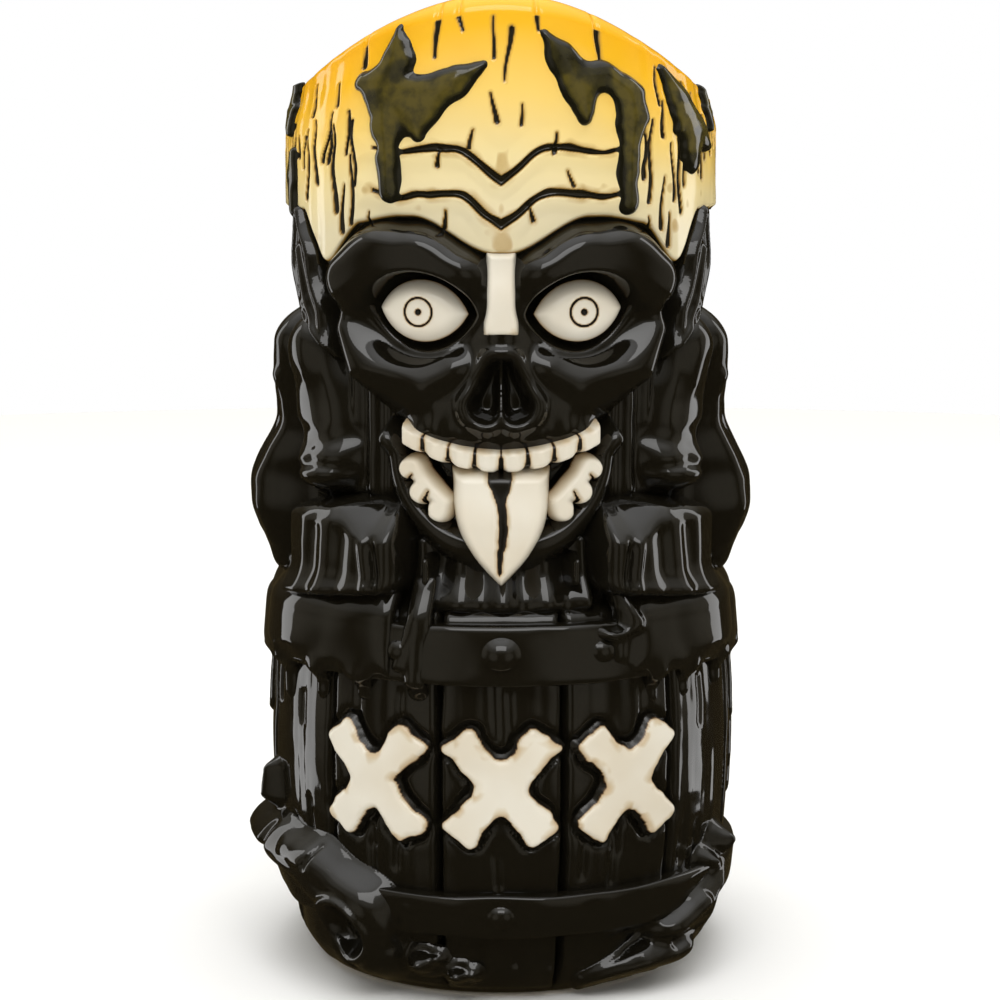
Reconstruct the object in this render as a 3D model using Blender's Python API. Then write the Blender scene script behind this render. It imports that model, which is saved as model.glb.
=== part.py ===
"""Tiki mug: a skull-headed figure crouching in a barrel, as the clay pieces that a potter would join.

Lengths are in millimetres and become metres where a mesh is made. The mug stands on z = 0, its axis is Z and it
faces -Y. Relief is drawn flat as (u, v) and wrapped on the mug: u is the distance to the right of the front
centre, along an arc of radius ARC_RADIUS, and v is the height.
"""

import math

import bpy
import numpy as np

MM = 0.001
GAP = 0.3  # clearance between two pieces that touch
SEAM = 0.5  # clearance between two pieces of relief side by side

LIFT = 4.0  # heights below are measured from a level this far above the table
HEIGHT = 178.0
RIM_DIP = 17.3  # how much lower the rim is at the sides than at the front and back
RIM_START = 150.0  # the wall is plain below this height, and follows the wavy rim above it
ARC_RADIUS = 40.0

# Vessel
BARREL_TOP = 69.5
BARREL_MIDDLE = 38.0
BARREL_END_RADIUS = 38.0
BARREL_BULGE = 3.4
HEAD_RADIUS = 36.5
NECK_LOW, NECK_HIGH = 70.0, 76.0
WALL = 3.6
FLOOR = 2.5
FOOT_RADIUS = 35.6
FOOT_RECESS_RADIUS = 29.0
FOOT_RECESS = 1.6  # how far the bottom inside the foot ring is above the table
VESSEL_SEGMENTS = 48

# Barrel
STAVES = 12
STAVE_THICKNESS = 2.9
STAVE_BOTTOM = -2.4
STAVE_EDGE = 0.8  # depth of the groove between two staves
HOOP_SEGMENTS = 48
HOOP_THICKNESS = 2.2
UPPER_HOOP = (56.3, 67.1)
LOWER_HOOP = (9.4, 17.5)
CROSS_HEIGHT = 37.6
CROSS_ANGLE = 31.0
CROSS_SPREAD = 1.3

# Head
CROWN_RADIUS = 40.8
CROWN_LEAN = 1.6  # the crown leans in this much towards the rim
JAW_DEPTH = 4.5  # the lower jaw and the mouth lining stand this proud of the vessel
THUMB = ((14.0, 74.4), (16.6, 83.6), 2.5, 2.3)  # its ends on the right side, and a radius at each

LATTICE = 3.2  # spacing of the mesh on large relief
FACE = 2.4  # the same on the face, whose pieces stand side by side
FINE = FACE / 2

BLACK = (0.007, 0.006, 0.004)
CREAM = (0.81, 0.74, 0.61)
AMBER = (0.96, 0.56, 0.03)
OLIVE = (0.045, 0.045, 0.008)
WHITE = (0.86, 0.84, 0.78)


# ---------------------------------------------------------------- surfaces


def smooth(x, low, high):
    """0 below low, 1 above high, and a smooth step between them."""
    t = np.clip((x - low) / (high - low), 0.0, 1.0)
    return t * t * (3 - 2 * t)


def core_radius(z):
    """Outer radius of the vessel at height z."""
    t = (z - BARREL_MIDDLE) / BARREL_MIDDLE
    barrel = BARREL_END_RADIUS + BARREL_BULGE * (1 - t * t)
    return barrel + (HEAD_RADIUS - barrel) * smooth(z, NECK_LOW, NECK_HIGH)


def stave_radius(z):
    """Outer radius of the staves at height z, rounded over at both ends."""
    ends = 2.3 * (1 - smooth(z, STAVE_BOTTOM - 1, STAVE_BOTTOM + 5))
    ends = ends + 0.9 * smooth(z, BARREL_TOP - 2.5, BARREL_TOP)
    return core_radius(z) + GAP + STAVE_THICKNESS - ends


def hoop_radius(z):
    return stave_radius(z) + GAP + HOOP_THICKNESS


def crown_radius(z):
    return CROWN_RADIUS - CROWN_LEAN * smooth(z, RIM_START + 6, HEIGHT)


def crown_edge(u):
    """Lower edge of the crown: a V over the nose, arched brows, and down in front of the ears."""
    m = np.abs(u)
    return 132.6 + 6.4 * smooth(m, 1, 17) - 8.6 * smooth(m, 24, 35) + 9.0 * smooth(m, 36, 44) - 20 * smooth(m, 66, 90)


def lifted(v, angle):
    """The height of a point that a level rim would put at v: above RIM_START it follows the wavy rim."""
    dip = RIM_DIP * np.sin(angle) ** 2
    return v - dip * np.maximum(v - RIM_START, 0) / (HEIGHT - RIM_START)


def wrapped(u, v, radius):
    """Points at (u, v) on the mug, this far from its axis."""
    angle = np.asarray(u) / ARC_RADIUS
    return np.stack([radius * np.sin(angle), -radius * np.cos(angle), lifted(v, angle)], axis=-1)


# ---------------------------------------------------------------- flat shapes
# Each gives the signed distance to its outline: negative inside.


def disc(u, v, centre, radius):
    return np.hypot(u - centre[0], v - centre[1]) - radius


def limb(u, v, start, end, start_radius, end_radius):
    """A rounded bar from start to end, with a radius at each."""
    du, dv = end[0] - start[0], end[1] - start[1]
    t = np.clip(((u - start[0]) * du + (v - start[1]) * dv) / (du * du + dv * dv), 0, 1)
    reach = np.hypot(u - start[0] - t * du, v - start[1] - t * dv)
    return reach - (start_radius + (end_radius - start_radius) * t)


def chain(u, v, points):
    """Limbs through points, each (u, v, radius)."""
    found = None
    for (a, b, first), (c, d, second) in zip(points, points[1:]):
        piece = limb(u, v, (a, b), (c, d), first, second)
        found = piece if found is None else np.minimum(found, piece)
    return found


def block(u, v, centre, half, corner=0.0, turn=0.0):
    """A rectangle with rounded corners, turned by an angle in degrees."""
    c, s = math.cos(math.radians(turn)), math.sin(math.radians(turn))
    a = np.abs((u - centre[0]) * c + (v - centre[1]) * s) - half[0] + corner
    b = np.abs(-(u - centre[0]) * s + (v - centre[1]) * c) - half[1] + corner
    return np.hypot(np.maximum(a, 0), np.maximum(b, 0)) + np.minimum(np.maximum(a, b), 0) - corner


def ellipse(u, v, centre, half):
    """Near enough to the distance to an ellipse for an outline and its rounded edge."""
    scaled = np.hypot((u - centre[0]) / half[0], (v - centre[1]) / half[1])
    return (scaled - 1) * min(half)


def outline(u, v, corners):
    """The distance to a closed outline of straight sides."""
    nearest = np.full(np.shape(u), 1e9)
    inside = np.zeros(np.shape(u), bool)
    for (a, b), (c, d) in zip(corners, corners[1:] + corners[:1]):
        nearest = np.minimum(nearest, limb(u, v, (a, b), (c, d), 0, 0))
        level = (b > v) != (d > v)
        inside ^= level & (u < (c - a) * (v - b) / (d - b if d != b else 1) + a)
    return np.where(inside, -nearest, nearest)


def mirrored(half):
    """A whole outline from its right half, listed from the top to the bottom."""
    return half + [(-a, b) for a, b in reversed(half) if a > 0]


def less(shape, *others):
    """The shape without the others and without a seam round them."""
    for other in others:
        shape = np.maximum(shape, SEAM - other)
    return shape


def pillow(distance, width, height, edge=0.5):
    """Height over the base of a piece whose edge is rounded over this width."""
    t = np.clip(-distance / width, 0, 1)
    return edge + (height - edge) * np.sqrt(1 - (1 - t) ** 2)


# ---------------------------------------------------------------- meshes


def glaze(name, colour, roughness=0.08):
    material = bpy.data.materials.new(name)
    material.use_nodes = True
    shader = material.node_tree.nodes["Principled BSDF"]
    shader.inputs["Base Color"].default_value = (*colour, 1)
    shader.inputs["Roughness"].default_value = roughness
    shader.inputs["Metallic"].default_value = 0
    material.diffuse_color = (*colour, 1)
    return material


def solid(name, points, faces, colour, crease=38):
    """One named object from points in millimetres."""
    mesh = bpy.data.meshes.new(name)
    mesh.from_pydata(((np.asarray(points) + (0, 0, LIFT)) * MM).tolist(), [], [tuple(map(int, face)) for face in faces])
    mesh.polygons.foreach_set("use_smooth", [True] * len(mesh.polygons))
    mesh.set_sharp_from_angle(angle=math.radians(crease))
    mesh.materials.append(glaze(name, colour))
    made = bpy.data.objects.new(name, mesh)
    bpy.context.scene.collection.objects.link(made)
    return made


def turned(name, profile, segments, colour, wavy=False):
    """A ring or cup from a closed profile of (radius, height). A radius of 0 is a point on the axis."""
    points, rows = [], []
    for radius, height in profile:
        if radius == 0:
            rows.append([len(points)] * segments)
            points.append((0, 0, height))
            continue
        rows.append([len(points) + i for i in range(segments)])
        for i in range(segments):
            angle = 2 * math.pi * i / segments
            z = lifted(height, angle) if wavy else height
            points.append((radius * math.sin(angle), -radius * math.cos(angle), z))
    faces = []
    for low, high in zip(rows, rows[1:] + rows[:1]):
        for i in range(segments):
            j = (i + 1) % segments
            corners = list(dict.fromkeys([low[i], low[j], high[j], high[i]]))
            if len(corners) > 2:
                faces.append(corners)
    return solid(name, points, faces, colour)


def relief(name, shape, height, base, box, colour, step=LATTICE, crease=50):
    """A piece of relief: the region of the box (u0, v0, u1, v1) where shape(u, v) is negative, from base to height.

    base(u, v) is the radius it stands on, and height(u, v, distance) is its thickness. The outline is cut through
    a lattice of triangles, so that neighbours on one lattice never cross.
    """
    us = np.arange(math.floor(box[0] / step), math.ceil(box[2] / step) + 1) * step
    vs = np.arange(math.floor(box[1] / step), math.ceil(box[3] / step) + 1) * step
    u, v = (grid.ravel() for grid in np.meshgrid(us, vs))
    distance = shape(u, v)
    distance[np.abs(distance) < 1e-6] = 1e-6
    columns = len(us)
    triangles = []
    for row in range(len(vs) - 1):
        for column in range(columns - 1):
            a = row * columns + column
            b, c, d = a + 1, a + columns + 1, a + columns
            if (row + column) % 2:
                triangles += [(a, b, c), (a, c, d)]
            else:
                triangles += [(a, b, d), (b, c, d)]
    flat, number = [], {}

    def corner(i, j=None):
        """The index of lattice point i, or of the place between i and j where the outline crosses."""
        key = i if j is None else (min(i, j), max(i, j))
        if key not in number:
            number[key] = len(flat)
            if j is None:
                flat.append((u[i], v[i]))
            else:
                i, j = key
                t = min(max(distance[i] / (distance[i] - distance[j]), 0.03), 0.97)
                flat.append((u[i] + t * (u[j] - u[i]), v[i] + t * (v[j] - v[i])))
        return number[key]

    faces = []
    for triangle in triangles:
        inside = [distance[i] < 0 for i in triangle]
        if not any(inside):
            continue
        loop = []
        for k in range(3):
            i, j = triangle[k], triangle[(k + 1) % 3]
            if inside[k]:
                loop.append(corner(i))
            if inside[k] != inside[(k + 1) % 3]:
                loop.append(corner(i, j))
        faces.append(loop)
    faces = largest(faces)
    used = sorted({i for face in faces for i in face})
    again = {old: new for new, old in enumerate(used)}
    faces = [[again[i] for i in face] for face in faces]
    at = np.array(flat)[used]
    floor = base(at[:, 0], at[:, 1])
    thick = height(at[:, 0], at[:, 1], np.minimum(shape(at[:, 0], at[:, 1]), 0))
    points = np.concatenate([wrapped(at[:, 0], at[:, 1], floor), wrapped(at[:, 0], at[:, 1], floor + thick)])
    n = len(at)
    edges = {(a, b) for face in faces for a, b in zip(face, face[1:] + face[:1])}
    top = [[i + n for i in face] for face in faces]
    under = [face[::-1] for face in faces]
    sides = [[a, b, b + n, a + n] for a, b in sorted(edges) if (b, a) not in edges]
    return solid(name, points, top + under + sides, colour, crease)


def largest(faces):
    """The faces of the largest connected region."""
    group = {}

    def root(i):
        while group[i] != i:
            group[i] = group[group[i]]
            i = group[i]
        return i

    for face in faces:
        for i in face:
            group.setdefault(i, i)
            group[root(i)] = root(face[0])
    sizes = {}
    for face in faces:
        sizes[root(face[0])] = sizes.get(root(face[0]), 0) + 1
    best = max(sizes, key=sizes.get)
    return [face for face in faces if root(face[0]) == best]


def cut(piece, cutter):
    """Takes the cutter out of the piece."""
    boolean = piece.modifiers.new("clear_of_" + cutter.name, "BOOLEAN")
    boolean.operation = "DIFFERENCE"
    boolean.solver = "EXACT"
    boolean.object = cutter


def on_vessel(u, v):
    return core_radius(v) + GAP


def on_staves(u, v):
    return stave_radius(v) + GAP


def on_crown(u, v):
    return crown_radius(v) + GAP


def on_jaw(u, v):
    return core_radius(v) + 2 * GAP + JAW_DEPTH


# ---------------------------------------------------------------- barrel


def vessel_body():
    """The hollow core, from the recess under the foot, up the outside, over the rim and down the inside."""
    outside = [(core_radius(z), z) for z in (-1, 6, 15, 26, 38, 50, 60, 70, 73, 76, 100, 125, RIM_START, 164)]
    inside = [(core_radius(z) - WALL, z) for z in (164, RIM_START, 125, 100, 78, 74, 70, 60, 50, 38, 26, 10)]
    table, recess = -LIFT, FOOT_RECESS - LIFT
    profile = [(0, recess), (FOOT_RECESS_RADIUS, recess), (FOOT_RECESS_RADIUS + 0.8, table), (FOOT_RADIUS, table)]
    profile += [(FOOT_RADIUS + 1.6, table + 1.2)] + outside
    lip = core_radius(HEIGHT)
    profile += [(lip, HEIGHT - 1.2), (lip - 1, HEIGHT), (lip - WALL + 1, HEIGHT), (lip - WALL, HEIGHT - 1.2)]
    profile += inside + [(core_radius(8) - WALL - 3, FLOOR), (0, FLOOR)]
    return turned("vessel_body", profile, VESSEL_SEGMENTS, BLACK, wavy=True)


def stave(number):
    """One stave, with its long edges lowered to make the groove."""
    centre = 2 * math.pi * number / STAVES
    half = math.pi / STAVES - GAP / 2 / (BARREL_END_RADIUS + BARREL_BULGE)
    across = ((-1, STAVE_EDGE), (-0.84, 0), (-0.3, 0), (0.3, 0), (0.84, 0), (1, STAVE_EDGE))
    heights = (STAVE_BOTTOM, 0, 3, 9, 18, 27, 38, 49, 60, 67, BARREL_TOP)
    points, rows = [], []
    for z in heights:
        for share, drop in across:
            for radius in (core_radius(z) + GAP, stave_radius(z) - drop):
                angle = centre + half * share
                points.append((radius * math.sin(angle), -radius * math.cos(angle), z))
    width = len(across)
    faces = []
    for row in range(len(heights) - 1):
        for k in range(width - 1):
            low, high = 2 * (row * width + k), 2 * ((row + 1) * width + k)
            faces.append((low + 1, low + 3, high + 3, high + 1))
            faces.append((low, high, high + 2, low + 2))
        for k, flip in ((0, False), (width - 1, True)):
            low, high = 2 * (row * width + k), 2 * ((row + 1) * width + k)
            side = (low, low + 1, high + 1, high)
            faces.append(side[::-1] if flip else side)
    last = 2 * (len(heights) - 1) * width
    for k in range(width - 1):
        faces.append((2 * k, 2 * k + 2, 2 * k + 3, 2 * k + 1))
        faces.append((last + 2 * k, last + 2 * k + 1, last + 2 * k + 3, last + 2 * k + 2))
    return solid(f"stave_{number + 1:02d}", points, faces, BLACK)


def ring(name, span, inner, outer, colour, corner=0.8):
    """A band between two radii that vary with height."""
    low, high = span
    middle = (low + high) / 2
    profile = [(inner(low), low), (outer(low) - corner, low), (outer(low), low + corner), (outer(middle), middle)]
    profile += [(outer(high), high - corner), (outer(high) - corner, high), (inner(high), high), (inner(middle), middle)]
    return turned(name, profile, HOOP_SEGMENTS, colour)


def hoops():
    ring("upper_hoop", UPPER_HOOP, lambda z: stave_radius(z) + GAP, hoop_radius, BLACK)
    ring("lower_hoop", LOWER_HOOP, lambda z: stave_radius(z) + GAP, hoop_radius, BLACK)


def clearance_ring(name, span):
    """The space that a hoop needs, which relief passing over it is cut by."""
    low, high = span[0] - GAP, span[1] + GAP
    profile = []
    for z in (low, (low + high) / 2, high):
        profile.append((hoop_radius(z) + GAP, z))
    profile += [(stave_radius(high) - 3, high), (stave_radius(low) - 3, low)]
    made = turned(name, profile, HOOP_SEGMENTS * 2, BLACK)
    made.hide_render = True
    made.display_type = "WIRE"
    return made


def rivet(name, angle, z, radius, rise):
    """A flattened dome that faces outwards."""
    stand = hoop_radius(z) + GAP
    rings = [(1, 0), (1, 0.25), (0.8, 0.7), (0.42, 0.95)]
    segments = 12
    centre = math.radians(angle)
    out = np.array([math.sin(centre), -math.cos(centre), 0])
    side = np.array([math.cos(centre), math.sin(centre), 0])
    up = np.array([0, 0, 1])
    middle = out * stand + up * z
    points = [middle]
    for share, lift in rings:
        for k in range(segments):
            a = 2 * math.pi * k / segments
            points.append(middle + radius * share * (side * math.cos(a) + up * math.sin(a)) + out * rise * lift)
    points.append(middle + out * rise)
    faces = []
    for k in range(segments):
        j = (k + 1) % segments
        faces.append((0, 1 + j, 1 + k))
        for row in range(len(rings) - 1):
            low, high = 1 + row * segments, 1 + (row + 1) * segments
            faces.append((low + k, low + j, high + j, high + k))
        last = 1 + (len(rings) - 1) * segments
        faces.append((last + k, last + j, len(points) - 1))
    return solid(name, points, faces, BLACK)


def rivets():
    upper, lower = sum(UPPER_HOOP) / 2 + 0.4, sum(LOWER_HOOP) / 2
    rivet("upper_rivet_front", 0, upper, 2.8, 1.6)
    rivet("upper_rivet_back", 180, upper, 2.8, 1.6)
    rivet("upper_rivet_left", -24, upper, 1.8, 1.1)
    rivet("upper_rivet_right", 24, upper, 1.8, 1.1)
    rivet("lower_rivet_front", 0, lower, 1.9, 1.1)
    rivet("lower_rivet_back", 180, lower, 1.9, 1.1)


def cross(name, angle):
    """A diagonal cross of two blunt bars."""
    centre = (math.radians(angle) * ARC_RADIUS, CROSS_HEIGHT)
    half = (3.0, 12.6)
    lean = 38

    def shape(u, v):
        first = block(u, v, centre, half, CROSS_SPREAD, lean)
        return np.minimum(first, block(u, v, centre, half, CROSS_SPREAD, -lean))

    box = (centre[0] - 12, centre[1] - 14, centre[0] + 12, centre[1] + 14)
    return relief(name, shape, lambda u, v, d: pillow(d, 1.4, 1.5, 0.4), on_staves, box, CREAM, step=1.9)


# ---------------------------------------------------------------- head


def crown():
    """The skull cap: a band from crown_edge up to the rim."""
    columns, rows = VESSEL_SEGMENTS, 6
    points = []
    for row in range(rows + 1):
        for column in range(columns):
            u = 2 * math.pi * ARC_RADIUS * column / columns
            u = u - 2 * math.pi * ARC_RADIUS if column > columns / 2 else u
            low = float(crown_edge(u))
            v = low + (HEIGHT - low) * row / rows
            round_over = 1.2 if row in (0, rows) else 0.0
            points.append(wrapped(u, v, core_radius(v) + GAP))
            points.append(wrapped(u, v, crown_radius(v) - round_over))
    faces = []
    for row in range(rows):
        for column in range(columns):
            right = (column + 1) % columns
            a, b = 2 * (row * columns + column), 2 * (row * columns + right)
            d, c = a + 2 * columns, b + 2 * columns
            faces.append((a + 1, b + 1, c + 1, d + 1))
            faces.append((a, d, c, b))
    last = 2 * rows * columns
    for column in range(columns):
        a, b = 2 * column, 2 * ((column + 1) % columns)
        faces.append((a, b, b + 1, a + 1))
        faces.append((last + a, last + a + 1, last + b + 1, last + b))
    return solid("crown", points, faces, AMBER)


def eye_shape(u, v):
    """Both almond eyes: where two discs meet."""
    m = np.abs(u)
    upper = disc(m, v, (14.8, 118.2), 9.6)
    lower = disc(m, v, (14.4, 127.0), 9.6)
    return np.maximum(upper, lower)


def brow_shape(u, v):
    """Both brows, kept under the crown's edge."""
    m = np.abs(u)
    bar = chain(m, v, [(6.5, 128.8, 2.2), (13, 132.4, 2.9), (22, 133.2, 3.1), (29.5, 129.6, 2.6)])
    return np.maximum(bar, v - crown_edge(u) + 2 * SEAM)


def bridge_shape(u, v):
    bar = block(u, v, (0, 126), (3.3, 5.5), 0.8)
    return np.maximum(bar, v - crown_edge(u) + 2 * SEAM)


def nose_shape(u, v):
    return outline(u, v, mirrored([(0, 118.6), (3.2, 116.0), (7.4, 106.2), (5.6, 102.8), (0, 103.6)]))


def upper_teeth_shape(u, v):
    """A smiling band."""
    rise = 4.6 * (u / 17) ** 2
    return np.maximum(np.abs(v - 96.4 - rise) - 2.6, np.abs(u) - 17.5)


def jaw_shape(u, v):
    """The lower jaw, with the mouth still filled."""
    return np.maximum(ellipse(u, v, (0, 98), (22.5, 22.5)), v - 90.5 - 8.5 * (u / 20) ** 2)


def mouth_shape(u, v):
    return np.maximum(ellipse(u, v, (0, 97), (17.8, 16.5)), v - 91.5 - 6.0 * (u / 20) ** 2)


def face_shape(u, v):
    half = [(0, 140), (34, 140), (35, 128), (33.5, 118), (30.5, 109), (25, 104.5), (19.5, 102), (17.5, 98), (0, 98)]
    whole = outline(u, v, mirrored(half))
    return np.maximum(whole, v - crown_edge(u) + 2 * SEAM)


def face():
    def shape(u, v):
        return less(face_shape(u, v), brow_shape(u, v), bridge_shape(u, v), nose_shape(u, v), eye_shape(u, v),
                    upper_teeth_shape(u, v))

    def height(u, v, d):
        m = np.abs(u)
        socket = 1 - smooth(ellipse(m, v, (14.6, 121.5), (12, 10)), -5, 1.5)
        cheek = 1.6 * np.exp(-((m - 24) ** 2 + (v - 113) ** 2) / 30)
        return pillow(face_shape(u, v), 5, 5.2) - 2.6 * socket + cheek

    relief("face", shape, height, on_vessel, (-38, 92, 38, 142), BLACK, step=FACE)


def features():
    """What stands on or beside the face."""
    for side, name in ((-1, "left"), (1, "right")):
        def brow(u, v, side=side):
            return np.maximum(brow_shape(u, v), -side * u)

        def eye(u, v, side=side):
            return np.maximum(eye_shape(u, v), -side * u)

        relief("brow_" + name, brow, lambda u, v, d: pillow(d, 2.6, 6.4), on_vessel,
               (-34, 124, 34, 140), BLACK, step=FACE)
        relief("eye_" + name, eye, lambda u, v, d: pillow(d, 3.0, 4.2, 1.6), on_vessel,
               (-26, 114, 26, 131), CREAM, step=FACE)
    relief("nose_bridge", bridge_shape, lambda u, v, d: pillow(d, 1.5, 5.4), on_vessel,
           (-6, 118, 6, 134), CREAM, step=FACE)
    relief("nose", nose_shape, lambda u, v, d: pillow(d, 4, 7.2) - 2.4 * np.exp(-(u / 2.2) ** 2), on_vessel,
           (-10, 100, 10, 120), BLACK, step=FACE)
    relief("upper_teeth", upper_teeth_shape, lambda u, v, d: pillow(d, 1.6, 6.6), on_vessel,
           (-21, 90, 21, 106), CREAM, step=FACE)


def mouth():
    """The lower jaw round the mouth lining, and the teeth and tongue that lie on the lining."""
    def jaw(u, v):
        return less(jaw_shape(u, v), mouth_shape(u, v), upper_teeth_shape(u, v))

    def lining(u, v):
        return less(mouth_shape(u, v), upper_teeth_shape(u, v))

    relief("lower_jaw", jaw, lambda u, v, d: pillow(jaw_shape(u, v), 4, JAW_DEPTH), on_vessel,
           (-26, 72, 26, 102), BLACK, step=FACE)
    relief("mouth_lining", lining, lambda u, v, d: 0 * u + JAW_DEPTH, on_vessel, (-20, 78, 20, 100), BLACK,
           step=FACE)
    tongue = mirrored([(0, 92.4), (8.2, 92.4), (8.8, 89), (6.4, 82), (0, 75.2)])
    relief("tongue", lambda u, v: outline(u, v, tongue),
           lambda u, v, d: pillow(d, 3.5, 3.4, 0.8) - 0.8 * np.exp(-(u / 1.2) ** 2), on_jaw,
           (-11, 73, 11, 94), CREAM, step=FINE)
    for side, name in ((-1, "left"), (1, "right")):
        def teeth(u, v, side=side):
            return chain(side * u, v, [(11.6, 86.4, 1.9), (14.4, 90.4, 2.1)])

        relief("lower_teeth_" + name, teeth, lambda u, v, d: pillow(d, 1.6, 2.4, 0.8), on_jaw,
               (-20, 80, 20, 96), CREAM, step=FINE)

    def neck(u, v):
        return less(block(u, v, (0, 76), (16, 4.6), 1), jaw_shape(u, v), limb(np.abs(u), v, *THUMB))

    relief("neck", neck, lambda u, v, d: pillow(d, 2, 3.2), on_vessel, (-18, 70, 18, 82), BLACK,
           step=FACE)


def run_of_glaze(name, points, base, height, box, colour):
    return relief(name, lambda u, v: chain(u, v, points), height, base, box, colour, step=FINE * 1.5)


def crown_runs():
    """Dark glaze that has run down the crown."""
    thin = lambda u, v, d: pillow(d, 1.6, 1.1, 0.3)
    left = [(-2, 161.5, 1.6), (-12, 157.5, 2.2), (-21, 160, 4.2), (-24, 167, 2.6), (-21, 160, 4.2), (-20.5, 150, 2.8),
            (-20.6, 143.5, 2.6)]
    right = [(9, 168, 2.4), (13, 160, 3.4), (20, 163, 3.2), (23, 154, 2.8), (24.5, 144, 2.9)]
    run_of_glaze("crown_run_left", left, on_crown, thin, (-30, 140, 6, 172), OLIVE)
    run_of_glaze("crown_run_right", right, on_crown, thin, (4, 140, 30, 172), OLIVE)


# ---------------------------------------------------------------- limbs


def thumb_shape(u, v):
    m = np.abs(u)
    return less(limb(m, v, *THUMB), jaw_shape(u, v))


def hand_shape(u, v):
    m = np.abs(u)
    return less(block(m, v, (27.6, 80.2), (10.4, 8.8), 3), limb(m, v, *THUMB), jaw_shape(u, v))


def arm_shape(u, v):
    m = np.abs(u)
    return limb(m, v, (60, 79.3), (52.5, 112.4), 8.6, 7.6)


def forearm_shape(u, v):
    m = np.abs(u)
    return less(chain(m, v, [(46, 109, 6.0), (40, 96, 6.8), (35, 92, 6.0)]), hand_shape(u, v), arm_shape(u, v))


def ear_shape(u, v):
    m = np.abs(u)
    whole = ellipse(m, v, (49.5, 124.5), (9.5, 13))
    return less(np.maximum(whole, v - crown_edge(u) + 2 * SEAM), arm_shape(u, v), forearm_shape(u, v))


def hand_height(u, v, d):
    """A fist: rounded all over, with a ridge down each of four fingers."""
    fingers = np.abs(np.cos(math.pi * (np.abs(u) - 17.2) / 5.2))
    return pillow(d, 4, 8.2) + (1.2 - 1.2 * fingers) * smooth(-d, 0, 3)


def limbs():
    shapes = (
        ("upper_arm", arm_shape, lambda u, v, d: pillow(d, 7.5, 11.3), (46, 68, 72, 124), LATTICE),
        ("forearm", forearm_shape, lambda u, v, d: pillow(d, 5.5, 7.6), (26, 82, 56, 120), LATTICE),
        ("ear", ear_shape, lambda u, v, d: pillow(d, 3, 5.4) - 2.2 * smooth(-d, 3.5, 6.5), (37, 108, 62, 140), LATTICE),
        ("hand", hand_shape, hand_height, (15, 70, 40, 91), FINE),
        ("thumb", thumb_shape, lambda u, v, d: pillow(d, 2.3, 6.8), (9, 70, 22, 88), FINE),
    )
    for name, shape, height, (u0, v0, u1, v1), step in shapes:
        relief(name + "_right", shape, height, on_vessel, (u0, v0, u1, v1), BLACK, step=step)
        relief(name + "_left", shape, height, on_vessel, (-u1, v0, -u0, v1), BLACK, step=step)


def barrel_runs(clearance):
    """Glaze runs from the hands, over the upper hoop and on down the staves."""
    over = 2 * GAP + HOOP_THICKNESS + 1.2

    def thick(u, v, d):
        return pillow(d, 1.8, 1, 0.5) * (1.3 + (over - 1.3) * smooth(v, UPPER_HOOP[0] - 5, UPPER_HOOP[0] - 1.5))

    runs = (
        ("barrel_run_left", [(-13.4, 68, 2.4), (-13.4, 60, 2.0), (-13.2, 50.5, 2.0)]),
        ("barrel_run_outer_left", [(-26, 68, 2.6), (-26.5, 60, 2.0), (-26.2, 53, 1.9)]),
        ("barrel_run_right", [(21.5, 68, 2.8), (21.2, 60, 2.2), (22.5, 49.6, 2.0)]),
    )
    for name, points in runs:
        u = points[0][0]
        made = run_of_glaze(name, points, on_staves, thick, (u - 6, 46, u + 6, 72), BLACK)
        cut(made, clearance)


def claws(clearance):
    """Bony limbs that lie across the foot of the barrel."""
    def above_table(shape, v):
        return np.maximum(shape, 0.6 - LIFT - v)

    def left(u, v):
        bones = chain(u, v, [(-52, 28, 3.8), (-55, 23, 5.2), (-47, 17, 5.6), (-36, 10, 6.2), (-27, 3.6, 6.0)])
        toes = chain(u, v, [(-27, 1, 4.0), (-15, 1.6, 3.4), (-8, 0.4, 3.0)])
        return above_table(np.minimum(bones, toes), v)

    def right(u, v):
        bones = chain(u, v, [(43, 22, 4.4), (40, 13, 5), (30, 8.5, 4.8), (17.5, 2.2, 3)])
        return above_table(bones, v)

    def thick(u, v, d):
        return pillow(d, 3.6, 5.6 - 1.9 * smooth(np.abs(u), 42, 52))

    cut(relief("claw_left", left, thick, on_staves, (-62, -4, 0, 34), BLACK), clearance)
    cut(relief("claw_right", right, thick, on_staves, (10, -4, 50, 30), BLACK), clearance)


def main():
    for old in list(bpy.data.objects):
        bpy.data.objects.remove(old)
    vessel_body()
    for number in range(STAVES):
        stave(number)
    hoops()
    rivets()
    for name, angle in (("left", -CROSS_ANGLE), ("centre", 0), ("right", CROSS_ANGLE)):
        cross("cross_" + name, angle)
    crown()
    face()
    features()
    mouth()
    crown_runs()
    limbs()
    barrel_runs(clearance_ring("upper_clearance", UPPER_HOOP))
    claws(clearance_ring("lower_clearance", LOWER_HOOP))


main()
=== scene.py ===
"""Tiki mug, glazed: a sculpted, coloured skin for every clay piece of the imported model.

Lengths are in millimetres and become metres where a mesh is made. Relief is drawn flat as (u, v) and wrapped on the
mug, as the CAD model's is: u is the distance to the right of the front centre along an arc of radius ARC, and v is
the height.
"""

import functools
import math
import random

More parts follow.
